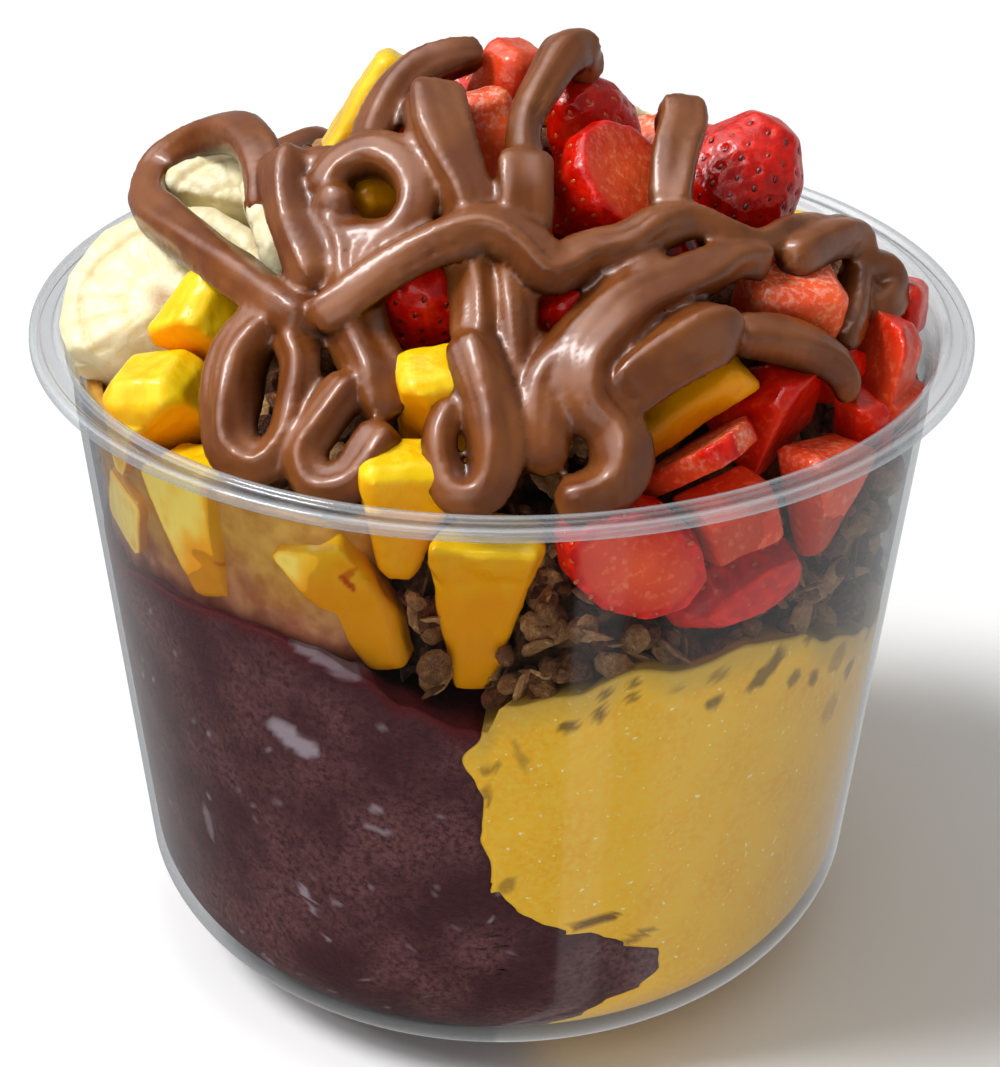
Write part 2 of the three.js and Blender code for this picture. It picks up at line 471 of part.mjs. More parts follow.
function granolaPiece(draw, row, i) {
  const around = (i + row / FLAKE_ROWS + 0.4 * draw()) / FLAKES_A_ROW * 2 * Math.PI;
  const [toX, toY] = [Math.sin(around), -Math.cos(around)];
  const z = between(LEVEL, azimuth(toX, toY)) + FIRST_ROW + row * ROW_RISE + draw();
  const out = coreRadius(z, 0) + 0.6 + 0.7 * draw();
  const bit = new THREE.IcosahedronGeometry(0.5, 0).scale(...(draw() < FLAKE_SHARE ? FLAKE : CLUSTER));
  const lean = () => radians(FLAKE_LEAN * (draw() - 0.5));
  bit.rotateY(lean()).rotateZ(lean()).rotateX(Math.PI / 2 + lean());
  return solidOf(bit.rotateZ(around).translate(toX * out, toY * out, z));
}

function granolaPieces(keepOuts) {
  const draw = draws(41);
  const pieces = [];
  for (let row = 0; row < FLAKE_ROWS; row += 1) {
    for (let i = 0; i < FLAKES_A_ROW; i += 1) {
      const solid = granolaPiece(draw, row, i);
      if (keepOuts.every((other) => solid.intersect(other).isEmpty())) pieces.push(solid);
    }
  }
  return pieces;
}

const group = new THREE.Group();

function piece(name, solid, colour, roughness, at = [0, 0, 0], turn = [0, 0, 0]) {
  const matrix = placement(at, turn);
  const geometry = geometryOf(solid).applyMatrix4(matrix.clone().invert());
  const material = new THREE.MeshStandardMaterial({ color: colour, roughness, metalness: 0 });
  const mesh = new THREE.Mesh(geometry, material);
  mesh.name = name;
  mesh.position.set(...at);
  mesh.quaternion.setFromRotationMatrix(matrix);
  group.add(mesh);
}

const colourOf = (name) => COLOURS[name.split("_")[0]];

// A piece squashed flat where a firmer one presses on it: of the flats that clear the other, the one that
// keeps most of it
function pressedBy(solid, other) {
  const points = other.getMesh().vertProperties;
  const directions = new THREE.IcosahedronGeometry(1, 1).attributes.position;
  let best = solid.subtract(other);
  let most = 0;
  for (let i = 0; i < directions.count; i += 1) {
    const normal = new THREE.Vector3().fromBufferAttribute(directions, i);
    let reach = -Infinity;
    for (let k = 0; k < points.length; k += 3) {
      reach = Math.max(reach, normal.x * points[k] + normal.y * points[k + 1] + normal.z * points[k + 2]);
    }
    const left = solid.subtract(halfSpace([...normal.toArray(), reach], 0));
    if (left.volume() > most) [best, most] = [left, left.volume()];
  }
  return best;
}

function addFruit(list, keepOuts, cutBefore) {
  const done = [...cutBefore];
  for (const [name, form] of Object.entries(list)) {
    const whole = placed(form);
    const near = done.filter((other) => !whole.intersect(other).isEmpty());
    const clear = near.reduce((left, other) => pressedBy(left, other), whole);
    const solid = largest(cutAll(clear, keepOuts));
    piece(name, solid, colourOf(name), 0.35, form[1], form[3]);
    done.push(placed(form, GAP));
  }
  return done;
}

piece("tub", solidOf(turned(tubProfile())), COLOURS.tub, 0.12);
piece("acai", acai, COLOURS.acai, 0.5);
piece("mango_sorbet", sorbet, COLOURS.sorbet, 0.5);
const wallFruit = addFruit(WALL_FRUIT, [tubKeepOut, pureeKeepOut, chocolateKeepOut], []);
addFruit(HEAP_FRUIT, [tubKeepOut, chocolateKeepOut, granolaCore(GAP)], wallFruit);
const bareCore = largest(cutAll(granolaCore(0), [pureeKeepOut, ...wallFruit]));
const flakes = granolaPieces([tubKeepOut, pureeKeepOut, ...wallFruit]);
piece("granola", largest(joinAll([bareCore, ...flakes])), COLOURS.granola, 0.8);
piece("chocolate_drizzle", chocolate, COLOURS.chocolate, 0.25);

export default group;
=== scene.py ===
import math

import bmesh
import bpy
import numpy as np
from mathutils import Matrix, Vector
from mathutils.kdtree import KDTree


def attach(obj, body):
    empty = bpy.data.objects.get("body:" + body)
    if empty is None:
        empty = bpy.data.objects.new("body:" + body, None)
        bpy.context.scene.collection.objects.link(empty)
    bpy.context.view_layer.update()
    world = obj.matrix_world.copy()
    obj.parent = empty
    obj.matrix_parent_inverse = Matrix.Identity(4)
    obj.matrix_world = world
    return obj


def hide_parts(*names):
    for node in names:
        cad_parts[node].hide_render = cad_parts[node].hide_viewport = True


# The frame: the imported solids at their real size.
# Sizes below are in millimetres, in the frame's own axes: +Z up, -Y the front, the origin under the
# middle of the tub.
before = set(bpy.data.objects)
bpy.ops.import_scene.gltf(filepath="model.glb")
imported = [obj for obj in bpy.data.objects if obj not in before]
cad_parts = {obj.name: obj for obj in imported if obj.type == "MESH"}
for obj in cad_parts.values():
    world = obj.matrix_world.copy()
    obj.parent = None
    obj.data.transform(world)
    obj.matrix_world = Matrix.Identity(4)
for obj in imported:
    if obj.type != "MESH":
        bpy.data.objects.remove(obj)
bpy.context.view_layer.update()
MM = 0.001


# The view: a long lens at arm's length, looking a little down over the rim into the heap.
# Its distance and height are in millimetres and its angles in radians.
VIEW_DISTANCE = 401.2
VIEW_ELEVATION = 0.4972
VIEW_ROLL = 0.0095
AIM_HEIGHT = 55.2
FOCAL_PIXELS = 3069.3
FRAME_PIXELS = 1067
SENSOR_WIDTH = 36

camera = bpy.data.objects.new("camera", bpy.data.cameras.new("camera"))
camera.data.sensor_width = SENSOR_WIDTH
camera.data.lens = FOCAL_PIXELS * SENSOR_WIDTH / FRAME_PIXELS
camera.location = MM * Vector((
    0,
    -VIEW_DISTANCE * math.cos(VIEW_ELEVATION),
    AIM_HEIGHT + VIEW_DISTANCE * math.sin(VIEW_ELEVATION),
))
camera.rotation_euler = (math.pi / 2 - VIEW_ELEVATION, 0, 0)
camera.rotation_euler.rotate_axis("Z", VIEW_ROLL)
bpy.context.scene.collection.objects.link(camera)
bpy.context.scene.camera = camera


# The tub: clear polypropylene, injection moulded in one piece with walls 0.8 mm thick. A beaded flange
# stiffens its mouth, a step under the flange keeps stacked tubs apart, and it stands on a low ring under
# its floor.
RIM_HEIGHT = 87.5
RIM_RADIUS = 59
FLANGE_THICK = 1.1
LIP_DROP = 1.6
LIP_WIDTH = 1
WALL = 0.8
WALL_TOP_RADIUS = 54.7
WALL_LOW_RADIUS = 46.9
CORNER_HEIGHT = 14.5
CORNER_POWER = 1.635
FOOT_RADIUS = 32.7
FOOT_WIDTH = 2.5
FOOT_LIFT = 0.8
FLOOR_THICK = 1.2
STEP_DROP = 2.4
STEP_WIDTH = 0.4
TUB_SIDES = 192


def wall_radius(height):
    """Outer radius of the tub at a height."""
    up = (height - CORNER_HEIGHT) / (RIM_HEIGHT - FLANGE_THICK - CORNER_HEIGHT)
    taper = WALL_LOW_RADIUS + (WALL_TOP_RADIUS - WALL_LOW_RADIUS) * up
    rise = (1 - np.clip(height / CORNER_HEIGHT, 0, 1)) ** (CORNER_POWER / 2)
    out = np.sqrt(np.clip(1 - rise**2, 0, 1)) ** (2 / CORNER_POWER)
    corner = FOOT_RADIUS + (WALL_LOW_RADIUS - FOOT_RADIUS) * out
    return np.where(np.asarray(height) >= CORNER_HEIGHT, taper, corner)


def eased(corners, steps=5):
    """Points of an outline whose corners (radius, height, ease) are cut round by their ease."""
    points = [corners[0][:2]]
    for before, (r, z, ease), after in zip(corners, corners[1:], corners[2:]):
        here = np.array([r, z])
        arms = []
        for other in (before, after):
            arm = np.array(other[:2]) - here
            length = np.linalg.norm(arm)
            arms.append(here + arm / length * min(ease, 0.48 * length))
        for t in np.linspace(0, 1, steps if ease else 1):
            points.append(tuple((1 - t) ** 2 * arms[0] + 2 * t * (1 - t) * here + t**2 * arms[1]))
    return points + [corners[-1][:2]]


def turned(profile, sides):
    """Points and faces of a profile of (radius, height) turned about the Z axis."""
    angle = np.arange(sides) * 2 * np.pi / sides
    points, rows = [], []
    for r, z in profile:
        if r < 1e-6:
            rows.append([len(points)] * sides)
            points.append((0, 0, z))
        else:
            rows.append(list(range(len(points), len(points) + sides)))
            points += [(r * math.sin(a), -r * math.cos(a), z) for a in angle]
    faces = []
    for low, high in zip(rows, rows[1:]):
        for i in range(sides):
            j = (i + 1) % sides
            faces.append(list(dict.fromkeys((low[i], low[j], high[j], high[i]))))
    return points, faces


def make_object(name, points, faces, marks=None):
    """A smooth mesh object from points in millimetres. marks are numbers that its materials read."""
    mesh = bpy.data.meshes.new(name)
    mesh.from_pydata((np.asarray(points, float) * MM).tolist(), [], [list(f) for f in faces])
    mesh.validate()
    mesh.shade_smooth()
    for mark, values in (marks or {}).items():
        mesh.attributes.new(mark, "FLOAT", "POINT").data.foreach_set("value", np.asarray(values, np.float32))
    made = bpy.data.objects.new(name, mesh)
    bpy.context.scene.collection.objects.link(made)
    return made


def colour(code):
    """A #rrggbb colour as linear red, green, blue and alpha."""
    channels = [int(code[i : i + 2], 16) / 255 for i in (1, 3, 5)]
    linear = [c / 12.92 if c <= 0.04045 else ((c + 0.055) / 1.055) ** 2.4 for c in channels]
    return (*linear, 1)


def new_material(name):
    """A material and its Principled shader."""
    material = bpy.data.materials.new(name)
    material.use_nodes = True
    return material, material.node_tree.nodes["Principled BSDF"]


def add_node(material, kind, inputs=None, **settings):
    """Adds a node with its settings. inputs holds a value, or the output it is linked to, for each socket."""
    made = material.node_tree.nodes.new(kind)
    for name, value in settings.items():
        setattr(made, name, value)
    for key, value in (inputs or {}).items():
        if isinstance(value, bpy.types.NodeSocket):
            material.node_tree.links.new(value, made.inputs[key])
        else:
            made.inputs[key].default_value = value
    return made


def link(material, output, node, key):
    """Links an output to a socket of a node."""
    material.node_tree.links.new(output, node.inputs[key])


def maths(owner, operation, *values, **settings):
    """The output of a maths node on some values."""
    inputs = dict(enumerate(values))
    return add_node(owner, "ShaderNodeMath", inputs, operation=operation, **settings).outputs[0]


def blend(material, share, first, second):
    """first where share is 0 and second where it is 1."""
    made = add_node(material, "ShaderNodeMix", {0: share, 6: first, 7: second}, data_type="RGBA")
    return made.outputs[2]


def clear_polypropylene():
    """Moulded clear polypropylene: see-through and glossy, milky where thick or seen along its surface, with
    painted white highlight lines along its lip, ridge, step and foot.
    """
    material, principled = new_material("clear_polypropylene")
    nodes = material.node_tree.nodes
    output = nodes["Material Output"]
    nodes.remove(principled)
    # This mark holds the plastic's own haze and painted highlight lines.
    haze_and_glint_mark = add_node(material, "ShaderNodeAttribute", attribute_name="haze_and_glints").outputs["Fac"]
    facing = add_node(material, "ShaderNodeLayerWeight", {"Blend": 0.25}).outputs["Facing"]
    veil = maths(material, "MULTIPLY_ADD", maths(material, "POWER", facing, 2.2), 0.12, haze_and_glint_mark, use_clamp=True)
    white = add_node(material, "ShaderNodeBsdfDiffuse", {"Color": colour("#dfe4e8")}).outputs[0]
    tint = blend(material, facing, colour("#fdfdfd"), colour("#a6aaae"))
    through = add_node(material, "ShaderNodeBsdfTransparent", {"Color": tint}).outputs[0]
    body = add_node(material, "ShaderNodeMixShader", {0: veil, 1: through, 2: white}).outputs[0]
    gloss = add_node(material, "ShaderNodeBsdfGlossy", {"Color": (1, 1, 1, 1), "Roughness": 0.06}).outputs[0]
    mirror = add_node(material, "ShaderNodeFresnel", {"IOR": 1.49}).outputs[0]
    behind = add_node(material, "ShaderNodeNewGeometry").outputs["Backfacing"]
    share = maths(material, "MULTIPLY", mirror, maths(material, "SUBTRACT", 1.0, behind))
    whole = add_node(material, "ShaderNodeMixShader", {0: share, 1: body, 2: gloss})
    link(material, whole.outputs[0], output, "Surface")
    return material


SPACE_FOOT = FOOT_LIFT + FLOOR_THICK
under_flange = RIM_HEIGHT - FLANGE_THICK


def inner_radius(height):
    """Radius of the space in the tub at a height."""
    low = np.linspace(0, CORNER_HEIGHT, 40)
    heights = np.append(low + SPACE_FOOT, under_flange)
    radii = np.append(wall_radius(low), WALL_TOP_RADIUS) - WALL
    return np.interp(height, heights, radii)


step_height = under_flange - STEP_DROP
lip_foot = under_flange - LIP_DROP + FLANGE_THICK
corner_heights = CORNER_HEIGHT * (1 - np.cos(np.linspace(0.12, np.pi / 2, 22)))
outside = [(float(wall_radius(z)), float(z), 0) for z in corner_heights]
wall_heights = np.linspace(CORNER_HEIGHT, step_height, 14)[1:-1]
outside += [(float(wall_radius(z)), float(z), 0) for z in wall_heights]
inside = [(float(inner_radius(z)), float(z), 0) for z in wall_heights[::-1] if z > CORNER_HEIGHT + SPACE_FOOT]
inside += [(float(wall_radius(z)) - WALL, float(z) + SPACE_FOOT, 0) for z in corner_heights[::-1]]
step_out = float(wall_radius(step_height)) - STEP_WIDTH
tub_corners = [
    (0, FOOT_LIFT, 0), (FOOT_RADIUS - FOOT_WIDTH, FOOT_LIFT, 0.3), (FOOT_RADIUS - FOOT_WIDTH, 0, 0.3),
    (FOOT_RADIUS, 0, 0.4), *outside,
    (step_out, step_height, 0.3), (WALL_TOP_RADIUS, step_height + 0.5, 0.3),
    (WALL_TOP_RADIUS, under_flange, 0.3), (RIM_RADIUS - LIP_WIDTH, under_flange, 0.2),
    (RIM_RADIUS - LIP_WIDTH, lip_foot, 0.2), (RIM_RADIUS, lip_foot, 0.3),
    (RIM_RADIUS, RIM_HEIGHT - 0.1, 0.6), (RIM_RADIUS - 1.2, RIM_HEIGHT - 0.1, 0.3),
    (RIM_RADIUS - 1.6, RIM_HEIGHT - 0.6, 0.3), (RIM_RADIUS - 2.7, RIM_HEIGHT - 0.6, 0.3),
    (RIM_RADIUS - 3.1, RIM_HEIGHT, 0.3), (RIM_RADIUS - 3.9, RIM_HEIGHT, 0.5),
    (WALL_TOP_RADIUS - WALL, under_flange - 0.8, 0.6), (step_out - WALL, step_height - 0.2, 0.4),
    *inside, (FOOT_RADIUS - WALL, SPACE_FOOT, 0.4), (0, SPACE_FOOT, 0),
]
tub_points, tub_faces = turned(eased(tub_corners), TUB_SIDES)
tub_height = np.array(tub_points)[:, 2]
tub_reach = np.hypot(*np.array(tub_points)[:, :2].T)
above_wall = np.clip((tub_height - under_flange + 1.2) / 0.8, 0, 1)
flange = above_wall * np.clip((tub_reach - WALL_TOP_RADIUS + 0.9) / 0.8, 0, 1)
# Painted highlights: thin white lines along the lip, the inner ridge, the stacking step and the foot stand in
# for their glints. The faint milk over the whole flange is the plastic's own haze.
lip_glint = np.exp(-(((tub_reach - RIM_RADIUS + 0.4) / 0.5) ** 2)) * flange
ledge_glint = np.exp(-(((tub_reach - RIM_RADIUS + 3.4) / 0.45) ** 2)) * flange
step_glint = np.exp(-(((tub_height - step_height - 0.3) / 0.3) ** 2))
foot_glint = np.exp(-((tub_height / 0.8) ** 2))
haze_and_glints = 0.03 * flange + 0.3 * lip_glint + 0.28 * ledge_glint + 0.25 * step_glint + 0.05 * foot_glint
tub = make_object("clear_tub", tub_points, tub_faces, {"haze_and_glints": haze_and_glints})
tub.data.materials.append(clear_polypropylene())
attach(tub, "root")
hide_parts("tub")


# The acai: a frozen purple-brown puree pressed into the left of the tub, its top edge wavy and stained with
# fruit juice. Frost and trapped air leave pale smears and specks against the wall.
# Level of the purees at the wall: degrees from the front, +X side positive, and height
LEVEL = [
    (-180, 56.3), (-140, 60.6), (-100, 59), (-67, 61.9), (-52, 64.7), (-34, 65.9), (-24, 65.2), (-18, 62.9),
    (-12, 59.2), (-4, 56.6), (-1.5, 56.2), (0.5, 60.2), (9, 61.3), (18, 64.2), (24, 62.9), (34, 63.5),
    (44, 61.9), (52, 58), (63, 54.3), (72, 51.1), (90, 48.5), (130, 50.2), (180, 56.3),
]
LEVEL_MIDDLE = 58
# Where the purees meet, across the tub: height and x at the front wall, and at the back wall
SEAM_FRONT = [
    (0, 4), (6.7, 8.7), (9, 12.6), (12.5, 15.5), (13.6, 19.5), (16.5, 21.6), (19.5, 21.2), (21.7, 16.5),
    (24.6, 13.2), (25.4, 9.5), (27.2, 5.5), (29, 2.9), (31.6, 1), (34, -0.9), (41.7, -2.4), (46.3, -2.1),
    (49.3, -3.3), (52.2, -4.3), (56, -2.2), (75, -2.2),
]
SEAM_BACK = [(0, -6), (12, -10), (24, -4), (38, 5), (50, 9), (75, 8)]
SEAM_HALF_DEPTH = 52
INTO_WALL = 0.15
PUREE_ROWS = 90
PUREE_COLUMNS = 230
SEAM_COLUMNS = 42


def between(pairs, value):
    """Value of a smooth curve through (input, value) pairs in rising order of input."""
    at, out = np.array(pairs, float).T
    i = np.clip(np.searchsorted(at, value), 1, len(at) - 1)
    part = np.clip((value - at[i - 1]) / (at[i] - at[i - 1]), 0, 1)
    return out[i - 1] + (out[i] - out[i - 1]) * part * part * (3 - 2 * part)


def grain(points, size, seed=0):
    """Smooth random values from -1 to 1 that change over about size millimetres."""
    at = np.atleast_2d(points) / size + seed * 17.31 + 500
    cell = np.floor(at).astype(np.int64)
    part = at - cell
    part = part * part * (3 - 2 * part)
    total = 0
    for corner in np.ndindex(2, 2, 2):
        x, y, z = (cell + corner).T
        mixed = (x * 73856093) ^ (y * 19349663) ^ (z * 83492791)
        mixed = ((mixed ^ (mixed >> 13)) * 1274126177) & 0xFFFFFFFF
        value = ((mixed ^ (mixed >> 16)) & 0xFFFF) / 32767.5 - 1
        total = total + value * np.prod(np.where(corner, part, 1 - part), axis=1)
    return total


def level_at(azimuth):
    """Height of the purees' top at an azimuth in degrees."""
    wrapped = (np.asarray(azimuth, float) + 180) % 360 - 180
    level = between(LEVEL, wrapped)
    ring = np.stack([50 * np.sin(np.radians(wrapped)), 50 * np.cos(np.radians(wrapped)), 0 * wrapped], 1)
    return level + 0.35 * grain(ring, 5, 1) + 0.2 * grain(ring, 1.8, 2)


def seam_at(y, height):
    """Where across the tub the two purees meet."""
    back = np.clip((y + SEAM_HALF_DEPTH) / (2 * SEAM_HALF_DEPTH), 0, 1)
    return between(SEAM_FRONT, height) * (1 - back) + between(SEAM_BACK, height) * back


def seam_azimuth(height, front):
    """Azimuth in degrees, 0 in front and +X side positive, where the purees' seam meets the wall."""
    radius = inner_radius(height)
    x = seam_at(-radius if front else radius, height)
    wander = np.stack([x, height, 0 * x + (0 if front else 90)], 1)
    x = x + 0.45 * grain(wander, 4, 3) + 0.35 * grain(wander, 1.5, 4)
    angle = np.degrees(np.arcsin(x / radius))
    return angle if front else 180 - angle


def puree(span, into):
    """A puree over a span of azimuths of the tub. Its foot follows the tub's rounded floor."""
    part = np.linspace(0, 1, PUREE_ROWS)
    ends = []
    for front, turns in span:
        height = SPACE_FOOT + part * (LEVEL_MIDDLE - SPACE_FOOT)
        for _ in range(6):
            azimuth = seam_azimuth(height, front)
            height = SPACE_FOOT + part * (level_at(azimuth) - SPACE_FOOT)
        ends.append(azimuth + turns)
    points = []
    chord = np.linspace(0, 1, SEAM_COLUMNS)[1:-1, None]
    for t, first, last in zip(part, *ends):
        azimuth = np.linspace(first, last, PUREE_COLUMNS)
        height = SPACE_FOOT - 0.1 + t * (level_at(azimuth) - SPACE_FOOT)
        radius = inner_radius(height) + into
        angle = np.radians(azimuth)
        arc = np.stack([radius * np.sin(angle), -radius * np.cos(angle), height], 1)
        inner = arc[-1] + (arc[0] - arc[-1]) * chord
        inner[:, 0] = seam_at(inner[:, 1], inner[:, 2])
        ease = np.minimum(chord[:, 0], 1 - chord[:, 0]) * 2
        ease = np.clip(ease * 5, 0, 1)
        straight = arc[-1, 0] + (arc[0, 0] - arc[-1, 0]) * chord[:, 0]
        inner[:, 0] = straight * (1 - ease) + inner[:, 0] * ease
        points.append(np.concatenate([arc, inner]))
    around = len(points[0])
    faces = []
    for row in range(PUREE_ROWS - 1):
        for i in range(around):
            j = (i + 1) % around
            a, b = row * around, (row + 1) * around
            faces.append((a + i, a + j, b + j, b + i))
    flat = np.concatenate(points)
    for row, up in ((0, False), (PUREE_ROWS - 1, True)):
        ring = points[row]
        start = len(flat)
        previous = [row * around + i for i in range(around)]
        for shrink in (0.9, 0.6, 0.3):
            inner = ring.mean(0) + (ring - ring.mean(0)) * shrink
            flat = np.concatenate([flat, inner])
            here = [start + i for i in range(around)]
            start += around
            for i in range(around):
                j = (i + 1) % around
                quad = (previous[i], previous[j], here[j], here[i])
                faces.append(quad if up else quad[::-1])
            previous = here
        flat = np.concatenate([flat, [ring.mean(0)]])
        for i in range(around):
            j = (i + 1) % around
            tri = (previous[i], previous[j], len(flat) - 1)
            faces.append(tri if up else tri[::-1])
    return flat, faces


def mark(material, name):
    """A number stored at each point of the mesh."""
    return add_node(material, "ShaderNodeAttribute", attribute_name=name).outputs["Fac"]


def pattern(material, size, detail=3, rough=0.5, stretch=(1, 1, 1)):
    """Random clouds about size millimetres across."""
    where = add_node(material, "ShaderNodeTexCoord").outputs["Object"]
    share = tuple(s / (size * MM) for s in stretch)
    scaled = add_node(material, "ShaderNodeVectorMath", {0: where, 1: share}, operation="MULTIPLY")
    clouds = {"Vector": scaled.outputs[0], "Scale": 1.0, "Detail": detail, "Roughness": rough}
    return add_node(material, "ShaderNodeTexNoise", clouds).outputs["Fac"]


def ranged(material, value, low, high, first=0.0, last=1.0):
    """value drawn out so that low becomes first and high becomes last."""
    ends = {"Value": value, "From Min": low, "From Max": high, "To Min": first, "To Max": last}
    return add_node(material, "ShaderNodeMapRange", ends, interpolation_type="SMOOTHSTEP").outputs[0]


def bump(material, height, depth):
    """Relief of depth millimetres from a height of 0 to 1."""
    return add_node(material, "ShaderNodeBump", {"Height": height, "Distance": depth * MM}).outputs[0]


def frozen_acai():
    """Frozen acai: dull purple brown with fine ice grain, redder at its melting edge, frosted specks."""
    material, principled = new_material("frozen_acai")
    clouds = ranged(material, pattern(material, 11, 4), 0.35, 0.65)
    fine = ranged(material, pattern(material, 0.8, 4, 0.75), 0.3, 0.72)
    shade = blend(material, clouds, colour("#50292c"), colour("#7f5250"))
    shade = blend(material, fine, colour("#442327"), shade)
    shade = blend(material, mark(material, "juice"), shade, colour("#5a1517"))
    shade = blend(material, mark(material, "frost"), shade, colour("#a3929a"))
    link(material, shade, principled, "Base Color")
    principled.inputs["Roughness"].default_value = 0.55
    # Pressed on the wall, it has hardly any shine
    principled.inputs["Specular IOR Level"].default_value = 0.12
    link(material, bump(material, fine, 0.1), principled, "Normal")
    return material


# Smears of frost and air against the wall: azimuth, level, width, height, turn in degrees, depth of colour
FROST = [
    (-28.8, 50.8, 7.6, 3.2, -22, 1), (-31.5, 51.8, 3.2, 2.6, 0, 1), (-24, 64.3, 7, 2, -20, 0.6),
    (-20.5, 62.8, 4, 2, -15, 0.45), (-17.2, 43.4, 2, 1.2, 0, 0.8), (-16.7, 39.9, 3.8, 0.9, -8, 0.7),
    (-29.9, 26.5, 1.5, 3, 15, 0.9), (-28.6, 24.6, 1.3, 1.8, -20, 0.8), (-24.2, 26.6, 1.8, 1.2, 0, 0.6),
    (-49.4, 30.8, 1.6, 5, 8, 0.5), (-41, 10.8, 1.7, 3.4, 25, 0.8), (-28.5, 9.9, 1.4, 1.2, 0, 0.5),
    (-33, 40, 1, 1, 0, 0.4), (-9, 31, 1.2, 0.7, 0, 0.4), (-22, 17, 1, 0.8, 0, 0.45),
    (-13, 22, 0.8, 0.6, 0, 0.4),
]
SPECKS = 240


def smears(points, azimuth, patches, seed):
    """How much of a list of smears each point shows."""
    shown = np.zeros(len(points))
    ragged = 0.3 * grain(points, 1.5, seed) + 0.2 * grain(points, 0.6, seed + 1)
    for at, height, wide, tall, turn, depth in patches:
        across = np.radians(azimuth - at) * 50
        up = points[:, 2] - height
        c, s = math.cos(math.radians(turn)), math.sin(math.radians(turn))
        reach = np.hypot((across * c + up * s) / wide * 2, (up * c - across * s) / tall * 2)
        shown = np.maximum(shown, depth * np.clip((1.1 + ragged - reach) / 0.3, 0, 1))
    return shown


acai_points, acai_faces = puree([(False, -360), (True, 0)], INTO_WALL)
acai_azimuth = np.degrees(np.arctan2(acai_points[:, 0], -acai_points[:, 1]))
speck = np.random.default_rng(7)
specks = []
for width in speck.uniform(0.35, 0.9, SPECKS):
    at, height = speck.uniform(-180, 30), speck.uniform(4, 62)
    specks.append((at, height, width, width * speck.uniform(0.5, 1), 45, speck.uniform(0.3, 0.9)))
below = level_at(acai_azimuth) - acai_points[:, 2]
frost = smears(acai_points, acai_azimuth, FROST, 5)
acai_marks = {
    "frost": np.maximum(frost, smears(acai_points, acai_azimuth, specks, 6)),
    "juice": np.clip(1 - below / (3 + 2 * grain(acai_points, 4, 7)), 0, 1),
}
acai = make_object("acai_puree", acai_points, acai_faces, acai_marks)
acai.data.materials.append(frozen_acai())
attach(acai, "root")
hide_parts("acai")


# The mango sorbet: a smooth yellow frozen puree on the right. Along its top it thins to a film over bits of
# granola, which show through it, and the acai smears into it along their seam.
def mango_sorbet_finish():
    """Mango sorbet: dull yellow with orange clouds and pale ice flecks, greyer where it is a film."""
    material, principled = new_material("mango_sorbet")
    clouds = ranged(material, pattern(material, 7, 4), 0.35, 0.68)
    fine = ranged(material, pattern(material, 0.9, 3, 0.6), 0.3, 0.75)
    flecks = ranged(material, pattern(material, 0.8, 1, 0.3), 0.71, 0.77)
    shade = blend(material, clouds, colour("#f6b422"), colour("#fcc22e"))
    shade = blend(material, fine, shade, colour("#f6c846"))
    shade = blend(material, flecks, shade, colour("#fbe9a4"))
    shade = blend(material, mark(material, "film"), shade, colour("#ab9550"))
    shade = blend(material, mark(material, "bits"), shade, colour("#4b3a22"))
    shade = blend(material, mark(material, "smear"), shade, colour("#4a2426"))
    link(material, shade, principled, "Base Color")
    principled.inputs["Roughness"].default_value = 0.5
    principled.inputs["Specular IOR Level"].default_value = 0.12
    link(material, bump(material, fine, 0.02), principled, "Normal")
    return material


# Bits of granola under the film, and smears of acai over it, told in the same way as the frost
EMBEDDED = [
    (9.2, 56.9, 2.4, 1.8, 0, 0.75), (14.1, 61.2, 1.8, 1.6, 0, 0.7), (13.4, 58.5, 1.8, 2.2, -20, 0.75),
    (17.8, 62, 1.8, 1.4, 0, 0.7), (17.6, 60.2, 1.6, 1.6, 0, 0.65), (24, 60, 1.4, 1.2, 0, 0.35),
    (30.3, 56.8, 2.8, 1.9, 10, 0.75), (30.2, 60.6, 2.8, 2, 10, 0.45), (38.7, 58.4, 6.6, 3, 42, 0.75),
    (44.7, 55.2, 2.2, 2.4, 0, 0.65), (49.4, 53.2, 2.2, 2.6, 0, 0.65), (46.5, 60.3, 1.8, 1.6, 0, 0.6),
    (60.9, 49.6, 2.6, 3.4, 20, 0.6), (55.8, 53.6, 4, 4, 0, 0.4), (56.2, 46, 4.6, 5, 0, 0.3),
    (68, 52, 3, 3, 0, 0.5), (80, 46, 3, 2.4, 0, 0.5), (95, 45, 2.6, 2.2, 0, 0.5), (112, 46, 3, 2.6, 0, 0.5),
]
SMEARS = [
    (14.5, 26.2, 7, 1.6, 10, 0.8), (1.5, 33, 2, 3, -20, 0.5), (-1.5, 47, 1.2, 4, 12, 0.55),
    (3, 53, 1, 5, 20, 0.35), (22, 22.5, 5, 1.4, 20, 0.6), (-1, 51, 3, 1.4, 40, 0.5),
]
sorbet_points, sorbet_faces = puree([(True, 0), (False, 0)], INTO_WALL - 0.03)
sorbet_azimuth = np.degrees(np.arctan2(sorbet_points[:, 0], -sorbet_points[:, 1]))
below = level_at(sorbet_azimuth) - sorbet_points[:, 2]
sorbet_marks = {
    "film": 0.6 * np.clip(1 - below / (5 + 2.5 * grain(sorbet_points, 5, 12)), 0, 1),
    "bits": smears(sorbet_points, sorbet_azimuth, EMBEDDED, 9),
    "smear": smears(sorbet_points, sorbet_azimuth, SMEARS, 10),
}
sorbet = make_object("mango_puree", sorbet_points, sorbet_faces, sorbet_marks)
sorbet.data.materials.append(mango_sorbet_finish())
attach(sorbet, "root")
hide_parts("mango_sorbet")


# The granola: rolled oats baked with syrup into dark clusters, tipped in over the purees. Its core is the
# mass of it under the fruit. Single oats and clusters lie over the core, against the wall and between the
# fruit.
def mesh_arrays(source):
    """Points in millimetres and faces of a mesh object."""
    points = np.empty(len(source.data.vertices) * 3)
    source.data.vertices.foreach_get("co", points)
    return points.reshape(-1, 3) / MM, [tuple(f.vertices) for f in source.data.polygons]


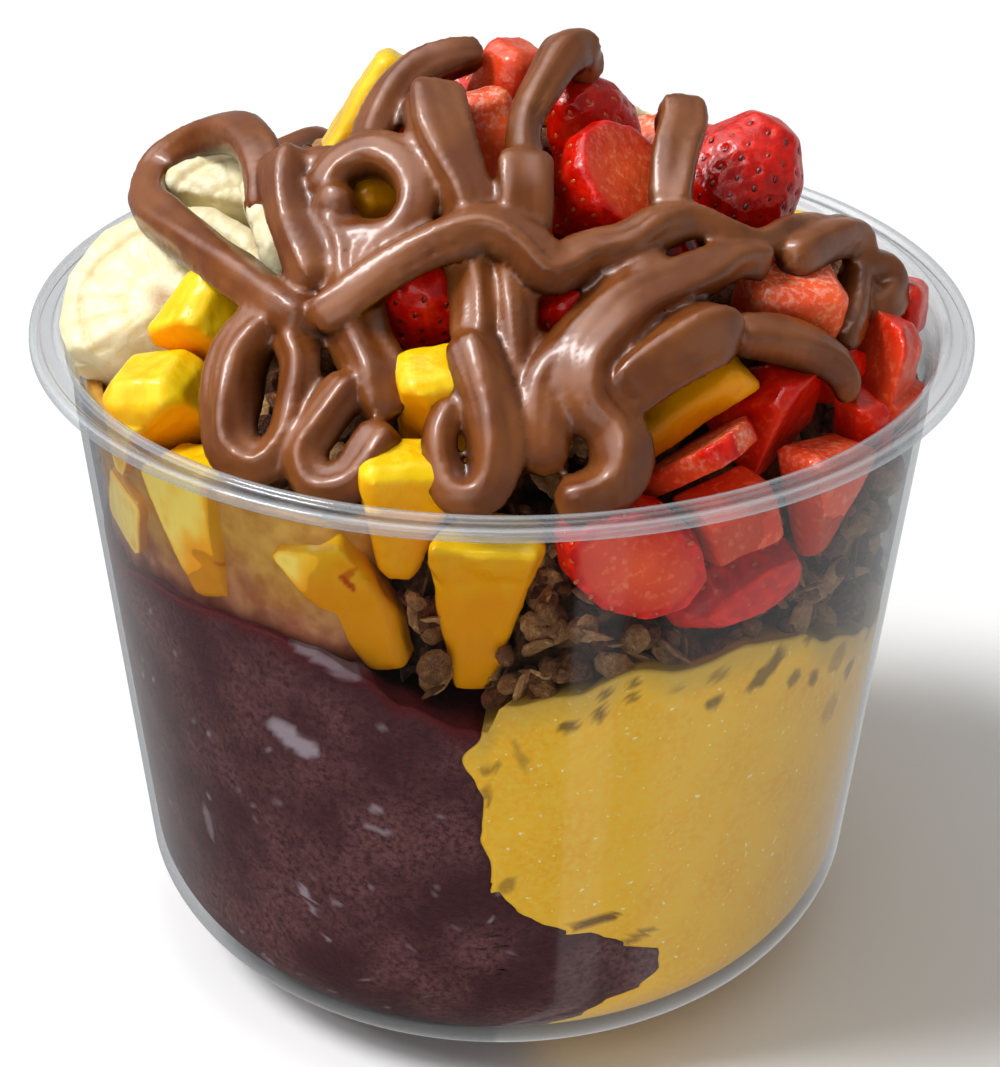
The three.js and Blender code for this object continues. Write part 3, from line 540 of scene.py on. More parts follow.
def normals_of(points, faces):
    """Normals of the points of a mesh."""
    mesh = bpy.data.meshes.new("normals")
    mesh.from_pydata(np.asarray(points, float).tolist(), [], faces)
    normals = np.empty(len(mesh.vertices) * 3)
    mesh.vertex_normals.foreach_get("vector", normals)
    bpy.data.meshes.remove(mesh)
    return normals.reshape(-1, 3)


def remeshed(points, faces, cell, smooth):
    """An even mesh over closed solids, in cells of a size in millimetres, its edges eased by smoothing."""
    mesh = bpy.data.meshes.new("rough")
    mesh.from_pydata(np.asarray(points, float).tolist(), [], faces)
    rough = bpy.data.objects.new("rough", mesh)
    bpy.context.scene.collection.objects.link(rough)
    voxels = rough.modifiers.new("voxels", "REMESH")
    voxels.mode = "VOXEL"
    voxels.voxel_size = cell
    ease = rough.modifiers.new("ease", "SMOOTH")
    ease.factor = 0.5
    ease.iterations = smooth
    done = rough.evaluated_get(bpy.context.evaluated_depsgraph_get())
    points = np.empty(len(done.data.vertices) * 3)
    done.data.vertices.foreach_get("co", points)
    faces = [tuple(f.vertices) for f in done.data.polygons]
    bpy.data.objects.remove(rough)
    bpy.data.meshes.remove(mesh)
    return points.reshape(-1, 3), faces


def joined(parts):
    """One set of points, faces and marks from several."""
    points, faces, marks = [], [], {}
    count = 0
    for part_points, part_faces, part_marks in parts:
        points.append(part_points)
        faces += [tuple(i + count for i in f) for f in part_faces]
        count += len(part_points)
        for name, value in part_marks.items():
            marks.setdefault(name, []).append(np.broadcast_to(value, len(part_points)))
    return np.concatenate(points), faces, {name: np.concatenate(v) for name, v in marks.items()}


def hull(points):
    """Points and faces of the smallest convex solid round points."""
    work = bmesh.new()
    for p in points:
        work.verts.new(p)
    bmesh.ops.convex_hull(work, input=work.verts)
    bmesh.ops.delete(work, geom=[v for v in work.verts if not v.link_faces], context="VERTS")
    work.verts.index_update()
    found = np.array([tuple(v.co) for v in work.verts])
    faces = [tuple(v.index for v in f.verts) for f in work.faces]
    work.free()
    return found, faces


def planes(points, faces):
    """Outward normals and distances of the faces of a convex solid."""
    a, b, c = (points[[f[k] for f in faces]] for k in range(3))
    normals = np.cross(b - a, c - a)
    normals /= np.maximum(np.linalg.norm(normals, axis=1), 1e-9)[:, None]
    outward = np.sign(np.sum(normals * (a - points.mean(0)), axis=1))
    normals *= outward[:, None]
    return normals, np.sum(normals * a, axis=1)


FRUIT = [name for name in sorted(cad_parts)
         if name.startswith(("mango_", "strawberry_", "banana_")) and name != "mango_sorbet"]
fruit_hulls = {name: hull(mesh_arrays(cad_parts[name])[0]) for name in FRUIT}
fruit_planes = [planes(*fruit_hulls[name]) for name in FRUIT]


def in_fruit(places, margin):
    """Whether any of some places is inside a piece of fruit, or within margin of one."""
    return any(np.max(places @ normals.T - apart, axis=1).min() < margin for normals, apart in fruit_planes)


OAT_RINGS = 2
OAT_SIDES = 10


def oat_flake(draw):
    """A rolled oat one millimetre in radius: a thin bent oval with a crease along it and a ragged edge."""
    ragged = 1 + 0.05 * draw.standard_normal(OAT_SIDES)
    bend = draw.uniform(-0.16, 0.16)
    points, faces = [], []
    for side in (1, -1):
        for ring in range(OAT_RINGS):
            reach = 1 - ring / OAT_RINGS
            for i in range(OAT_SIDES):
                angle = 2 * np.pi * i / OAT_SIDES
                x = math.cos(angle) * reach * ragged[i] ** (reach**2)
                y = math.sin(angle) * reach * ragged[i] ** (reach**2) * 0.66
                thick = 0.03 + 0.11 * math.sqrt(1 - reach**4)
                crease = 0.06 * math.exp(-((y / 0.1) ** 2)) * (1 - reach) if side > 0 else 0
                points.append((x, y, side * thick - crease + bend * (x * x - y * y)))
        points.append((0, 0, side * 0.14 - 0.05))
    half = OAT_RINGS * OAT_SIDES + 1
    for side, start in ((1, 0), (-1, half)):
        for i in range(OAT_SIDES):
            j = (i + 1) % OAT_SIDES
            for ring in range(OAT_RINGS - 1):
                low, high = start + ring * OAT_SIDES, start + (ring + 1) * OAT_SIDES
                faces.append((low + i, low + j, high + j, high + i)[::side])
            last = start + (OAT_RINGS - 1) * OAT_SIDES
            faces.append((last + i, last + j, start + half - 1)[::side])
    for i in range(OAT_SIDES):
        j = (i + 1) % OAT_SIDES
        faces.append((i, half + i, half + j, j))
    return np.array(points), faces


def cluster(draw):
    """A knobbly baked crumb one millimetre in radius."""
    arc = [(math.sin(a) if 0 < a < math.pi else 0, -math.cos(a)) for a in np.linspace(0, math.pi, 9)]
    points, faces = turned(arc, 12)
    points = np.array(points, float)
    shift = draw.uniform(0, 90)
    swell = 1 + 0.35 * grain(points + shift, 0.8, 3) + 0.22 * grain(points + shift, 0.35, 4)
    return points * swell[:, None] * (1.15, 0.95, 0.75), faces


BIT_LEAN = 0.6


def granola_bit(draw, place, outward, flake_share):
    """An oat or a cluster at a place, its broad side facing outward but leaning a random way."""
    flake = draw.uniform() < flake_share
    points, faces = oat_flake(draw) if flake else cluster(draw)
    size = draw.uniform(1.5, 3.3) if flake else draw.uniform(0.8, 2.1)
    spin = Matrix.Rotation(draw.uniform(0, 2 * math.pi), 3, "Z")
    nod, roll = draw.normal(0, BIT_LEAN), draw.normal(0, BIT_LEAN)
    tilt = Matrix.Rotation(nod, 3, "X") @ Matrix.Rotation(roll, 3, "Y")
    face = Vector(outward).to_track_quat("Z", "Y").to_matrix()
    points = points * size @ np.array(face @ tilt @ spin).T + place
    toast = draw.choice((0.0, 0.15, 0.4, 0.8)) + draw.uniform(0, 0.2) if flake else draw.uniform(0.6, 1)
    return points, faces, {"toast": toast, "gap": 0.0}


def baked_granola():
    """Baked oats: matt tan flakes and dark sticky clusters, with near-black painted shade in the gaps between
    them.
    """
    material, principled = new_material("baked_granola")
    fine = ranged(material, pattern(material, 0.9, 5, 0.75), 0.36, 0.66)
    toast = mark(material, "toast")
    light = blend(material, toast, colour("#ffd08c"), colour("#94491c"))
    dark = blend(material, toast, colour("#d98f4e"), colour("#220d05"))
    # Painted shade: the gap mark turns the colour near black, for the shade between the bits.
    shade = blend(material, mark(material, "gap"), blend(material, fine, dark, light), colour("#080403"))
    link(material, shade, principled, "Base Color")
    principled.inputs["Roughness"].default_value = 0.42
    link(material, bump(material, fine, 0.3), principled, "Normal")
    return material


OATS = 1350
CLUSTERS = 900
BED_CELL = 1.15
BED_SINK = 1.3
BED_RELIEF = 0.7
LOOSE_RISE = 3.2
LOOSE_DROP = 1.4
FRUIT_GAP = 0.3
WALL_GAP = 0.03
HEAP_RISE = 35
HEAP_CENTRE_Y = 8
HEAP_REACH = 56
HEAP_REACH_BACK = 36
BED_LEVEL = 86
BED_SHY = 3.4
PULP_SPAN = (-84, -17)
PULP_SHY = 1.8


def heap_height(x, y):
    """Height of the outside of the fruit heaped over the rim."""
    along = y - HEAP_CENTRE_Y
    reach = np.where(along > 0, HEAP_REACH_BACK, HEAP_REACH)
    mound = RIM_HEIGHT + HEAP_RISE * (1 - (x / HEAP_REACH) ** 2 - (along / reach) ** 2)
    return np.where(along > 0, np.maximum(mound, BED_LEVEL), mound)


core_points, core_faces = remeshed(*mesh_arrays(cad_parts["granola"]), BED_CELL, 3)
relief = grain(core_points, 2.2, 11)
core_points = core_points + normals_of(core_points, core_faces) * (BED_RELIEF * relief - BED_SINK)[:, None]
core_reach = np.hypot(core_points[:, 0], core_points[:, 1])
furthest = inner_radius(core_points[:, 2]) - BED_SHY - 0.8 * grain(core_points, 3, 12)
core_points[:, :2] *= np.minimum(1, furthest / core_reach)[:, None]
core_normals = normals_of(core_points, core_faces)
# Painted shade: the core is painted darker and near black, most in its hollows, for the shade between the
# loose bits.
core_marks = {"toast": 0.75 - 0.2 * relief, "gap": np.clip(0.6 - 0.5 * relief, 0, 1)}


def scattered(draw, count, flake_share):
    """Bits of granola lying on the core, clear of the fruit, the wall and the pulp pressed against it."""
    bits = []
    for spot in draw.permutation(len(core_points)):
        outward = core_normals[spot]
        rise, drop = draw.uniform(0, LOOSE_RISE), draw.uniform(0, LOOSE_DROP)
        place = core_points[spot] + outward * rise - (0, 0, drop)
        if outward[2] < -0.3 or in_fruit(place[None], FRUIT_GAP):
            continue
        points, faces, marks = granola_bit(draw, place, outward, flake_share)
        azimuth = math.degrees(math.atan2(place[0], -place[1]))
        shy = PULP_SHY if PULP_SPAN[0] - 2 < azimuth < PULP_SPAN[1] + 2 else WALL_GAP
        reach = np.hypot(points[:, 0], points[:, 1])
        over = max(0.0, float(np.max(reach - inner_radius(points[:, 2]))) + shy)
        points[:, :2] *= (1 - over / reach)[:, None]
        out = math.hypot(place[0], place[1])
        # Fruit near the wall is pressed out to it, so a bit in front of a piece is left out as well
        shrinks = [1 - inward / out for inward in (0, 1.6, 3.2)]
        if not any(in_fruit(points * (shrink, shrink, 1), FRUIT_GAP) for shrink in shrinks):
            bits.append((points, faces, marks))
        if len(bits) == count:
            break
    return joined(bits)


granola_finish = baked_granola()
for name, mesh in (
    ("granola_bed", (core_points, core_faces, core_marks)),
    ("granola_oats", scattered(np.random.default_rng(41), OATS, 1)),
    ("granola_clusters", scattered(np.random.default_rng(42), CLUSTERS, 0)),
):
    layer = make_object(name, *mesh)
    layer.data.materials.append(granola_finish)
    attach(layer, "root")
    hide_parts("granola")


# The mango: ripe flesh cut with a knife into blocks and wedges, soft edged, wet and a little clear. Where it
# presses on the wall it is flat, with a pale line of juice round the patch that touches.
def to_wall(points):
    """Presses flat against the wall what lies near it. Also says how near each point was."""
    reach = np.hypot(points[:, 0], points[:, 1])
    wall = inner_radius(points[:, 2]) + INTO_WALL
    gap = wall - reach
    near = np.clip((2.4 - gap) / 1.2, 0, 1) * (points[:, 2] < under_flange - 1)
    points[:, :2] *= (1 + near * (wall / reach - 1))[:, None]
    return points, np.where(points[:, 2] < under_flange - 1, gap, 9)


def soft_piece(node, cell, smooth, rough, seed):
    """The node's solid with eased edges and a slightly uneven skin, and how near the wall each point is."""
    points, faces = remeshed(*fruit_hulls[node], cell, smooth)
    uneven = rough * (0.7 * grain(points, 3.6, seed) + 0.22 * grain(points, 1.3, seed + 1))
    points = points + normals_of(points, faces) * uneven[:, None]
    points, gap = to_wall(points)
    return points, faces, gap


def ripe_mango():
    """Ripe mango flesh: deep yellow, clear enough to glow, wet."""
    material, principled = new_material("ripe_mango")
    clouds = ranged(material, pattern(material, 6, 2), 0.35, 0.68)
    fibres = ranged(material, pattern(material, 1.4, 2, 0.5, (1, 1, 0.35)), 0.35, 0.75)
    shade = blend(material, clouds, colour("#ffc406"), colour("#ffd30e"))
    shade = blend(material, fibres, shade, colour("#ffda24"))
    # Painted shade: deeper orange where the flesh lies in shade
    shade = blend(material, mark(material, "painted_shade_orange"), shade, colour("#f59300"))
    shade = blend(material, mark(material, "juice_line"), shade, colour("#ffe873"))
    shade = blend(material, mark(material, "stain"), shade, colour("#b42a06"))
    link(material, shade, principled, "Base Color")
    principled.inputs["Roughness"].default_value = 0.22
    principled.inputs["IOR"].default_value = 1.38
    principled.inputs["Specular IOR Level"].default_value = 0.4
    principled.inputs["Subsurface Weight"].default_value = 0.2
    principled.inputs["Subsurface Scale"].default_value = 1.2 * MM
    principled.inputs["Subsurface Radius"].default_value = (1.0, 1.0, 0.3)
    link(material, bump(material, fibres, 0.05), principled, "Normal")
    return material


# Strawberry juice on the mango at the wall, told in the same way as the frost
STAINS = [
    (-28.4, 71.7, 3.8, 2.6, 0, 1), (-16.7, 72.2, 10, 1.3, -49, 0.9), (-13.4, 66.8, 5, 1.2, -80, 0.8),
    (-19, 76.5, 3.5, 0.9, 40, 0.6), (-22.5, 70.5, 0.6, 0.5, 0, 0.8), (-38, 72.5, 3.4, 0.4, -20, 0.6),
    (-37, 75.5, 3.2, 0.4, -35, 0.5),
]
# Pieces in the shade of the strands, painted deeper orange all over as shade
MANGO_IN_PAINTED_SHADE = ("mango_ring", "mango_slice")
FINE_CELL = 0.45
PLAIN_CELL = 0.6


def cell_of(node):
    """Pieces at the back of the heap get larger cells."""
    return PLAIN_CELL if fruit_hulls[node][0][:, 1].mean() > 8 else FINE_CELL


mango_finish = ripe_mango()
for seed, node in enumerate(name for name in FRUIT if name.startswith("mango_")):
    points, faces, gap = soft_piece(node, cell_of(node), 5, 0.35, 20 + seed)
    azimuth = np.degrees(np.arctan2(points[:, 0], -points[:, 1]))
    # Painted shade: flesh low behind the wall and where it faces down is painted deeper orange
    painted_shade_orange = 0.8 * np.clip((RIM_HEIGHT - 5 - points[:, 2]) / 9, node in MANGO_IN_PAINTED_SHADE, 1)
    marks = {
        "juice_line": 0.8 * np.exp(-(((gap - 0.8) / 0.3) ** 2)),
        "stain": smears(points, azimuth, STAINS, 15) * (gap < 2),
        "painted_shade_orange": np.maximum(painted_shade_orange, 0.75 * np.clip(0.55 - normals_of(points, faces)[:, 2], 0, 1)),
    }
    block = make_object("cut_" + node, points, faces, marks)
    block.data.materials.append(mango_finish)
    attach(block, "root")
    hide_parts(node)


# The strawberries: ripe berries halved and diced. The skin is glossy and holds seeds in pits, the cut
# flesh is paler towards its core and wet with juice.
def local_axes(turn):
    """Axes, as columns, of a piece turned about X, then Y, then Z by degrees."""
    x, y, z = (math.radians(t) for t in turn)
    return np.array(Matrix.Rotation(z, 3, "Z") @ Matrix.Rotation(y, 3, "Y") @ Matrix.Rotation(x, 3, "X"))


BERRY_SHAPE = [(-0.5, 0), (-0.45, 0.22), (-0.2, 0.42), (0.15, 0.5), (0.4, 0.42), (0.5, 0.2), (0.51, 0)]
HALF = (0, 1, 0, 1)
FLAT_TOP = (0, 0, 1, 5)
SIDE = (1, 0, 0, 1.5)
# Berries with their skin on: middle, size and turn, and the plane they are cut by
BERRIES = {
    "strawberry_wall_slice": ((14, -44.5, 78.5), (20, 14, 17), (90, 35, 14), (0, 0, -1, 0.5)),
    "strawberry_wall_low": ((26.5, -39.5, 70.5), (10, 9, 18), (0, 78, 34), (0, 1, 0, 2)),
    "strawberry_seeded": ((21.5, -38, 86), (16, 14, 16), (30, 58, 10), (0, -1, 0, 5)),
    "strawberry_under": ((36, -18, 89), (14, 12, 14), (60, 20, 30), HALF),
    "strawberry_big": ((12, -15, 109), (17, 16, 19), (38, 34, 20), FLAT_TOP),
    "strawberry_round": ((29, -3, 106), (16.5, 16, 18), (16, -148, 0), (-0.3, 1, 0.2, 4)),
    "strawberry_peak_back": ((10, -2.5, 113), (13, 12, 14), (0, 150, 40), HALF),
    "strawberry_shade_left": ((-9.5, -25.5, 99.5), (14, 12, 15), (20, 20, 0), HALF),
    "strawberry_shade_mid": ((8.5, -26.5, 99.5), (14, 13, 15), (10, -30, 0), FLAT_TOP),
    "strawberry_shade_right": ((16.5, -20, 102), (12, 12, 14), (0, 70, 0), HALF),
    "strawberry_crown": ((-5, 10, 108.5), (15, 14, 17), (-20, 60, 20), HALF),
    "strawberry_back": ((-8, 20, 104), (17, 16, 19), (-30, 20, 0), FLAT_TOP),
    "strawberry_back_left": ((-43, 18, 83.5), (15, 14, 16), (-20, -60, 0), HALF),
    "strawberry_back_low": ((-13, 40, 89), (17, 15, 18), (-40, -20, 20), (0, 0, 1, 4)),
    "strawberry_back_right": ((24, 37, 88), (17, 15, 18), (-50, 30, 0), SIDE),
}
# How pale the cut flesh of a piece is, from deep red to salmon: partly the flesh's own colour and partly
# painted light, paler on the lit peak and deeper red where the piece lies in shade
PALENESS_AND_PAINTED_LIGHT = {
    "strawberry_peak": 0.5, "strawberry_peak_slice": 0.85, "strawberry_pink": 0.9,
    "strawberry_glimpse": 0.5, "strawberry_dice": 0.8, "strawberry_big": 0.55,
    "strawberry_wall_slice": 0.4, "strawberry_wall_strip": 0.4, "strawberry_wall_wedge": 0.6,
    "strawberry_wall_low": 0.3, "strawberry_crown": 0.6, "strawberry_crown_right": 0.5,
    "strawberry_round": 0.2, "strawberry_rim": 0.3, "strawberry_seeded": 0.75,
}
PLAIN_PALENESS_AND_PAINTED_LIGHT = 0.06
SEED_SPACING = 2.6
SEED_SINK = 0.22
PIT_DEPTH = 0.32
PIT_REACH = 0.55
DARK_SEEDED = ("strawberry_round", "strawberry_seeded", "strawberry_shade_left")


def ripe_strawberry():
    """Ripe strawberry: deep red glossy skin, and flesh from red under the skin to salmon at the core."""
    material, principled = new_material("ripe_strawberry")
    fine = ranged(material, pattern(material, 1.6, 3, 0.6), 0.35, 0.7)
    veins = ranged(material, pattern(material, 1.1, 2, 0.6), 0.5, 0.72)
    skin = blend(material, fine, colour("#c40c02"), colour("#e82008"))
    # Partly painted light: the pale mark also makes lit pieces paler and shaded ones deeper red
    flesh = blend(material, mark(material, "pale_and_lit"), colour("#cc1604"), colour("#ff6a34"))
    light = blend(material, mark(material, "pale_and_lit"), colour("#e0280a"), colour("#ff9c66"))
    flesh = blend(material, veins, flesh, light)
    crystals = ranged(material, pattern(material, 0.7, 2, 0.5), 0.5, 0.62)
    flesh = blend(material, mark(material, "icy"), flesh, blend(material, crystals, flesh, colour("#ffe6da")))
    shade = blend(material, mark(material, "flesh"), skin, flesh)
    link(material, shade, principled, "Base Color")
    principled.inputs["Roughness"].default_value = 0.2
    principled.inputs["IOR"].default_value = 1.38
    principled.inputs["Subsurface Weight"].default_value = 0.35
    principled.inputs["Subsurface Scale"].default_value = 1.8 * MM
    principled.inputs["Subsurface Radius"].default_value = (1.0, 0.2, 0.1)
    link(material, bump(material, fine, 0.05), principled, "Normal")
    return material


def seed_places(size):
    """Places of the seeds on a whole berry, in its own axes, in rising turns round it."""
    w, d, length = size
    places = []
    rows = int(length / SEED_SPACING * 1.15)
    for row in range(rows):
        z = -0.44 + 0.86 * (row + 0.5) / rows
        r = float(between(BERRY_SHAPE, z))
        around = max(3, round(2 * math.pi * r * (w + d) / 2 / SEED_SPACING))
        for i in range(around):
            angle = 2 * math.pi * (i + 0.5 * (row % 2)) / around
            places.append((r * w * math.cos(angle), r * d * math.sin(angle), z * length))
    return np.array(places)


berry_finish = ripe_strawberry()
seeds = []
for seed, node in enumerate(name for name in FRUIT if name.startswith("strawberry_")):
    whole = node in BERRIES
    smoothing, rough = (9, 0.12) if whole else (4, 0.3)
    points, faces, gap = soft_piece(node, cell_of(node) * 0.95, smoothing, rough, 60 + seed)
    pale_and_lit = PALENESS_AND_PAINTED_LIGHT.get(node, PLAIN_PALENESS_AND_PAINTED_LIGHT)
    marks = {
        "flesh": np.ones(len(points)),
        "pale_and_lit": np.clip(pale_and_lit + 0.25 * grain(points, 5, seed), 0, 1),
        "icy": np.clip(pale_and_lit - 0.45, 0, 1) * np.clip((points[:, 2] - points[:, 2].max() + 5) / 5, 0, 1),
    }
    if whole:
        at, size, turn, cut = BERRIES[node]
        own = local_axes(turn)
        local = (points - at) @ own
        shape = between(BERRY_SHAPE, local[:, 2] / size[2])
        share = np.hypot(local[:, 0] / size[0], local[:, 1] / size[1]) / np.maximum(shape, 0.05)
        marks["flesh"] = np.clip((0.92 - share) / 0.06, 0, 1)
        marks["pale_and_lit"] = np.clip(pale_and_lit * (1.6 - 1.3 * share) + 0.15 * grain(points, 3, seed), 0, 1)
        normal = np.array(cut[:3]) / np.linalg.norm(cut[:3])
        places = seed_places(size)
        normals = normals_of(points, faces)
        for place in places[places @ normal < cut[3] - 0.5] @ own.T + at:
            apart = np.linalg.norm(points - place, axis=1)
            nearest = int(np.argmin(apart))
            if apart[nearest] > 1.1 or marks["flesh"][nearest] > 0.3:
                continue
            pit = PIT_DEPTH * np.exp(-((apart / PIT_REACH) ** 2))
            brim = 0.06 * np.exp(-(((apart - 0.9) / 0.35) ** 2))
            sunk = points[nearest] - normals[nearest] * SEED_SINK
            seeds.append((sunk, normals[nearest], own[:, 2], float(node in DARK_SEEDED)))
            points = points - normals[nearest] * (pit - brim)[:, None]
    berry = make_object("cut_" + node, points, faces, marks)
    berry.data.materials.append(berry_finish)
    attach(berry, "root")
    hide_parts(node)


# The seeds: small hard drops, each lying in its pit and pointing along its berry. They are orange, and dark
# red on a few of the berries.
SEED_SIZE = (0.3, 0.2, 0.5)
seed_turns = (0, 0.6, 1.2, 1.7, 2.3, math.pi)
seed_arc = [(math.sin(a) if 0 < a < math.pi else 0, -math.cos(a)) for a in seed_turns]
seed_shape, seed_faces = turned(seed_arc, 8)
seed_parts = []
for place, normal, along, dark in seeds:
    along = along - normal * (along @ normal)
    along = along / max(np.linalg.norm(along), 1e-6)
    across = np.cross(normal, along)
    points = np.array(seed_shape) * SEED_SIZE @ np.array([across, normal, along]) + place
    seed_parts.append((points, seed_faces, {"dark": dark}))
seed_mesh = make_object("strawberry_seeds", *joined(seed_parts))
material, principled = new_material("strawberry_seed")
shade = blend(material, mark(material, "dark"), colour("#cf5a1e"), colour("#5c140c"))
link(material, shade, principled, "Base Color")
principled.inputs["Roughness"].default_value = 0.3
seed_mesh.data.materials.append(material)
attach(seed_mesh, "root")


# The banana: ripe slices, cream coloured, cut across with a knife. The ring and rays of the fruit show as
# shallow lines on their cut faces.
# Each slice: middle, size and turn in degrees about X, Y and Z
BANANAS = {
    "banana_long": ((-39.5, -11.5, 91.5), (31, 27, 8), (44, 0, -32)),
    "banana_loop": ((-32, -3, 99.5), (24, 21, 7), (50, 0, -18)),
    "banana_edge": ((-26.5, -13, 100.5), (20, 20, 6), (0, 78, 12)),
    "banana_back": ((-31, 26, 93), (25, 24, 8), (-28, -24, 0)),
    "banana_back_right": ((23, 22, 98.5), (25, 24, 8), (-22, 24, 0)),
}
BANANA_RAYS = 17


def ripe_banana():
    """Ripe banana flesh: cream, a little clear, darker at the ring and brown at the heart."""
    material, principled = new_material("ripe_banana")
    clouds = ranged(material, pattern(material, 2.4, 3, 0.6), 0.35, 0.65)
    shade = blend(material, clouds, colour("#ecdfb0"), colour("#f5ebc8"))
    shade = blend(material, mark(material, "ring"), shade, colour("#dcc586"))
    shade = blend(material, mark(material, "heart"), shade, colour("#a98650"))
    link(material, shade, principled, "Base Color")
    principled.inputs["Roughness"].default_value = 0.4
    principled.inputs["IOR"].default_value = 1.38
    principled.inputs["Subsurface Weight"].default_value = 0.3
    principled.inputs["Subsurface Scale"].default_value = 2 * MM
    principled.inputs["Subsurface Radius"].default_value = (1.0, 0.8, 0.5)
    link(material, bump(material, clouds, 0.06), principled, "Normal")
    return material


banana_finish = ripe_banana()
for seed, (node, (at, size, turn)) in enumerate(BANANAS.items()):
    points, faces, gap = soft_piece(node, FINE_CELL, 5, 0.3, 120 + seed)
    own = local_axes(turn)
    local = (points - at) @ own
    reach = 2 * np.hypot(local[:, 0] / size[0], local[:, 1] / size[1]) + 0.03 * grain(points, 3, seed)
    angle = np.arctan2(local[:, 1], local[:, 0])
    ring = np.exp(-(((reach - 0.74) / 0.035) ** 2)) + 0.5 * np.exp(-(((reach - 0.36) / 0.05) ** 2))
    rays = np.clip(np.sin(angle * BANANA_RAYS + 2.5 * grain(points, 5, seed)) - 0.3, 0, 1)
    rays = rays * (reach < 0.95) * (reach > 0.2)
    face = np.sign(local[:, 2]) * (np.abs(local[:, 2]) > size[2] / 2 - 1.3)
    points = points - ((0.4 * ring + 0.3 * rays) * face)[:, None] * own[:, 2]
    marks = {
        "ring": np.clip(0.5 * ring + 0.3 * rays, 0, 1) * np.abs(face),
        "heart": np.clip(1.3 - reach / 0.16, 0, 1) * np.abs(face),
    }
    banana = make_object("cut_" + node, points, faces, marks)
    banana.data.materials.append(banana_finish)
    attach(banana, "root")
    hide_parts(node)


# The pulp: juice and crushed mango pressed out between the cut pieces and the wall on the left. It reaches
# down to the acai, which stains it dark red there.
PULP_ROWS = 46
PULP_COLUMNS = 150
PULP_GAP = 0.9
PULP_BACK = 1.6
PULP_TOP = 82.5


def fruit_pulp():
    """Crushed fruit in juice: milky yellow above, salmon below, dark red where it meets the acai."""
    material, principled = new_material("fruit_pulp")
    clouds = ranged(material, pattern(material, 4, 4, 0.6), 0.3, 0.7)
    high = blend(material, clouds, colour("#cb8a30"), colour("#ebb552"))
    low = blend(material, clouds, colour("#a3553a"), colour("#cf8d63"))
    shade = blend(material, mark(material, "low"), high, low)
    shade = blend(material, mark(material, "juice"), shade, colour("#551d17"))
    link(material, shade, principled, "Base Color")
    principled.inputs["Roughness"].default_value = 0.35
    principled.inputs["IOR"].default_value = 1.35
    return material


azimuths = np.linspace(*PULP_SPAN, PULP_COLUMNS)
foot = level_at(azimuths) - 1.5
grid = []
for depth in (PULP_GAP, PULP_GAP + PULP_BACK):
    for t in np.linspace(0, 1, PULP_ROWS):
        height = foot + (PULP_TOP - foot) * t
        radius = inner_radius(height) - depth - 7 * np.clip((azimuths + 24) / 7, 0, 1) ** 2
        angle = np.radians(azimuths)
        grid.append(np.stack([radius * np.sin(angle), -radius * np.cos(angle), height], 1))
grid = np.concatenate(grid)
uneven = 0.5 * grain(grid, 5, 31) + 0.25 * grain(grid, 1.6, 32)
reach = np.hypot(grid[:, 0], grid[:, 1])
grid[:, :2] *= (1 - np.maximum(0, uneven + 0.1) / reach)[:, None]
faces = []
half = PULP_ROWS * PULP_COLUMNS
for row in range(PULP_ROWS - 1):
    for i in range(PULP_COLUMNS - 1):
        a, b = row * PULP_COLUMNS + i, (row + 1) * PULP_COLUMNS + i
        faces.append((a, a + 1, b + 1, b))
        faces.append((half + b, half + b + 1, half + a + 1, half + a))
    for i, order in ((0, -1), (PULP_COLUMNS - 1, 1)):
        a, b = row * PULP_COLUMNS + i, (row + 1) * PULP_COLUMNS + i
        faces.append((a, half + a, half + b, b)[::order])
for row, order in ((0, 1), (PULP_ROWS - 1, -1)):
    for i in range(PULP_COLUMNS - 1):
        a = row * PULP_COLUMNS + i
        faces.append((a, half + a, half + a + 1, a + 1)[::order])
over = grid[:, 2] - np.tile(foot, 2 * PULP_ROWS)
marks = {
    "low": np.clip(1.4 - over / 8 + 0.4 * grain(grid, 4, 33), 0, 1),
    "juice": np.clip(1 - over / (3.5 + 1.5 * grain(grid, 5, 34)), 0, 1),
}
pulp = make_object("fruit_pulp", grid, faces, marks)
pulp.data.materials.append(fruit_pulp())
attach(pulp, "root")


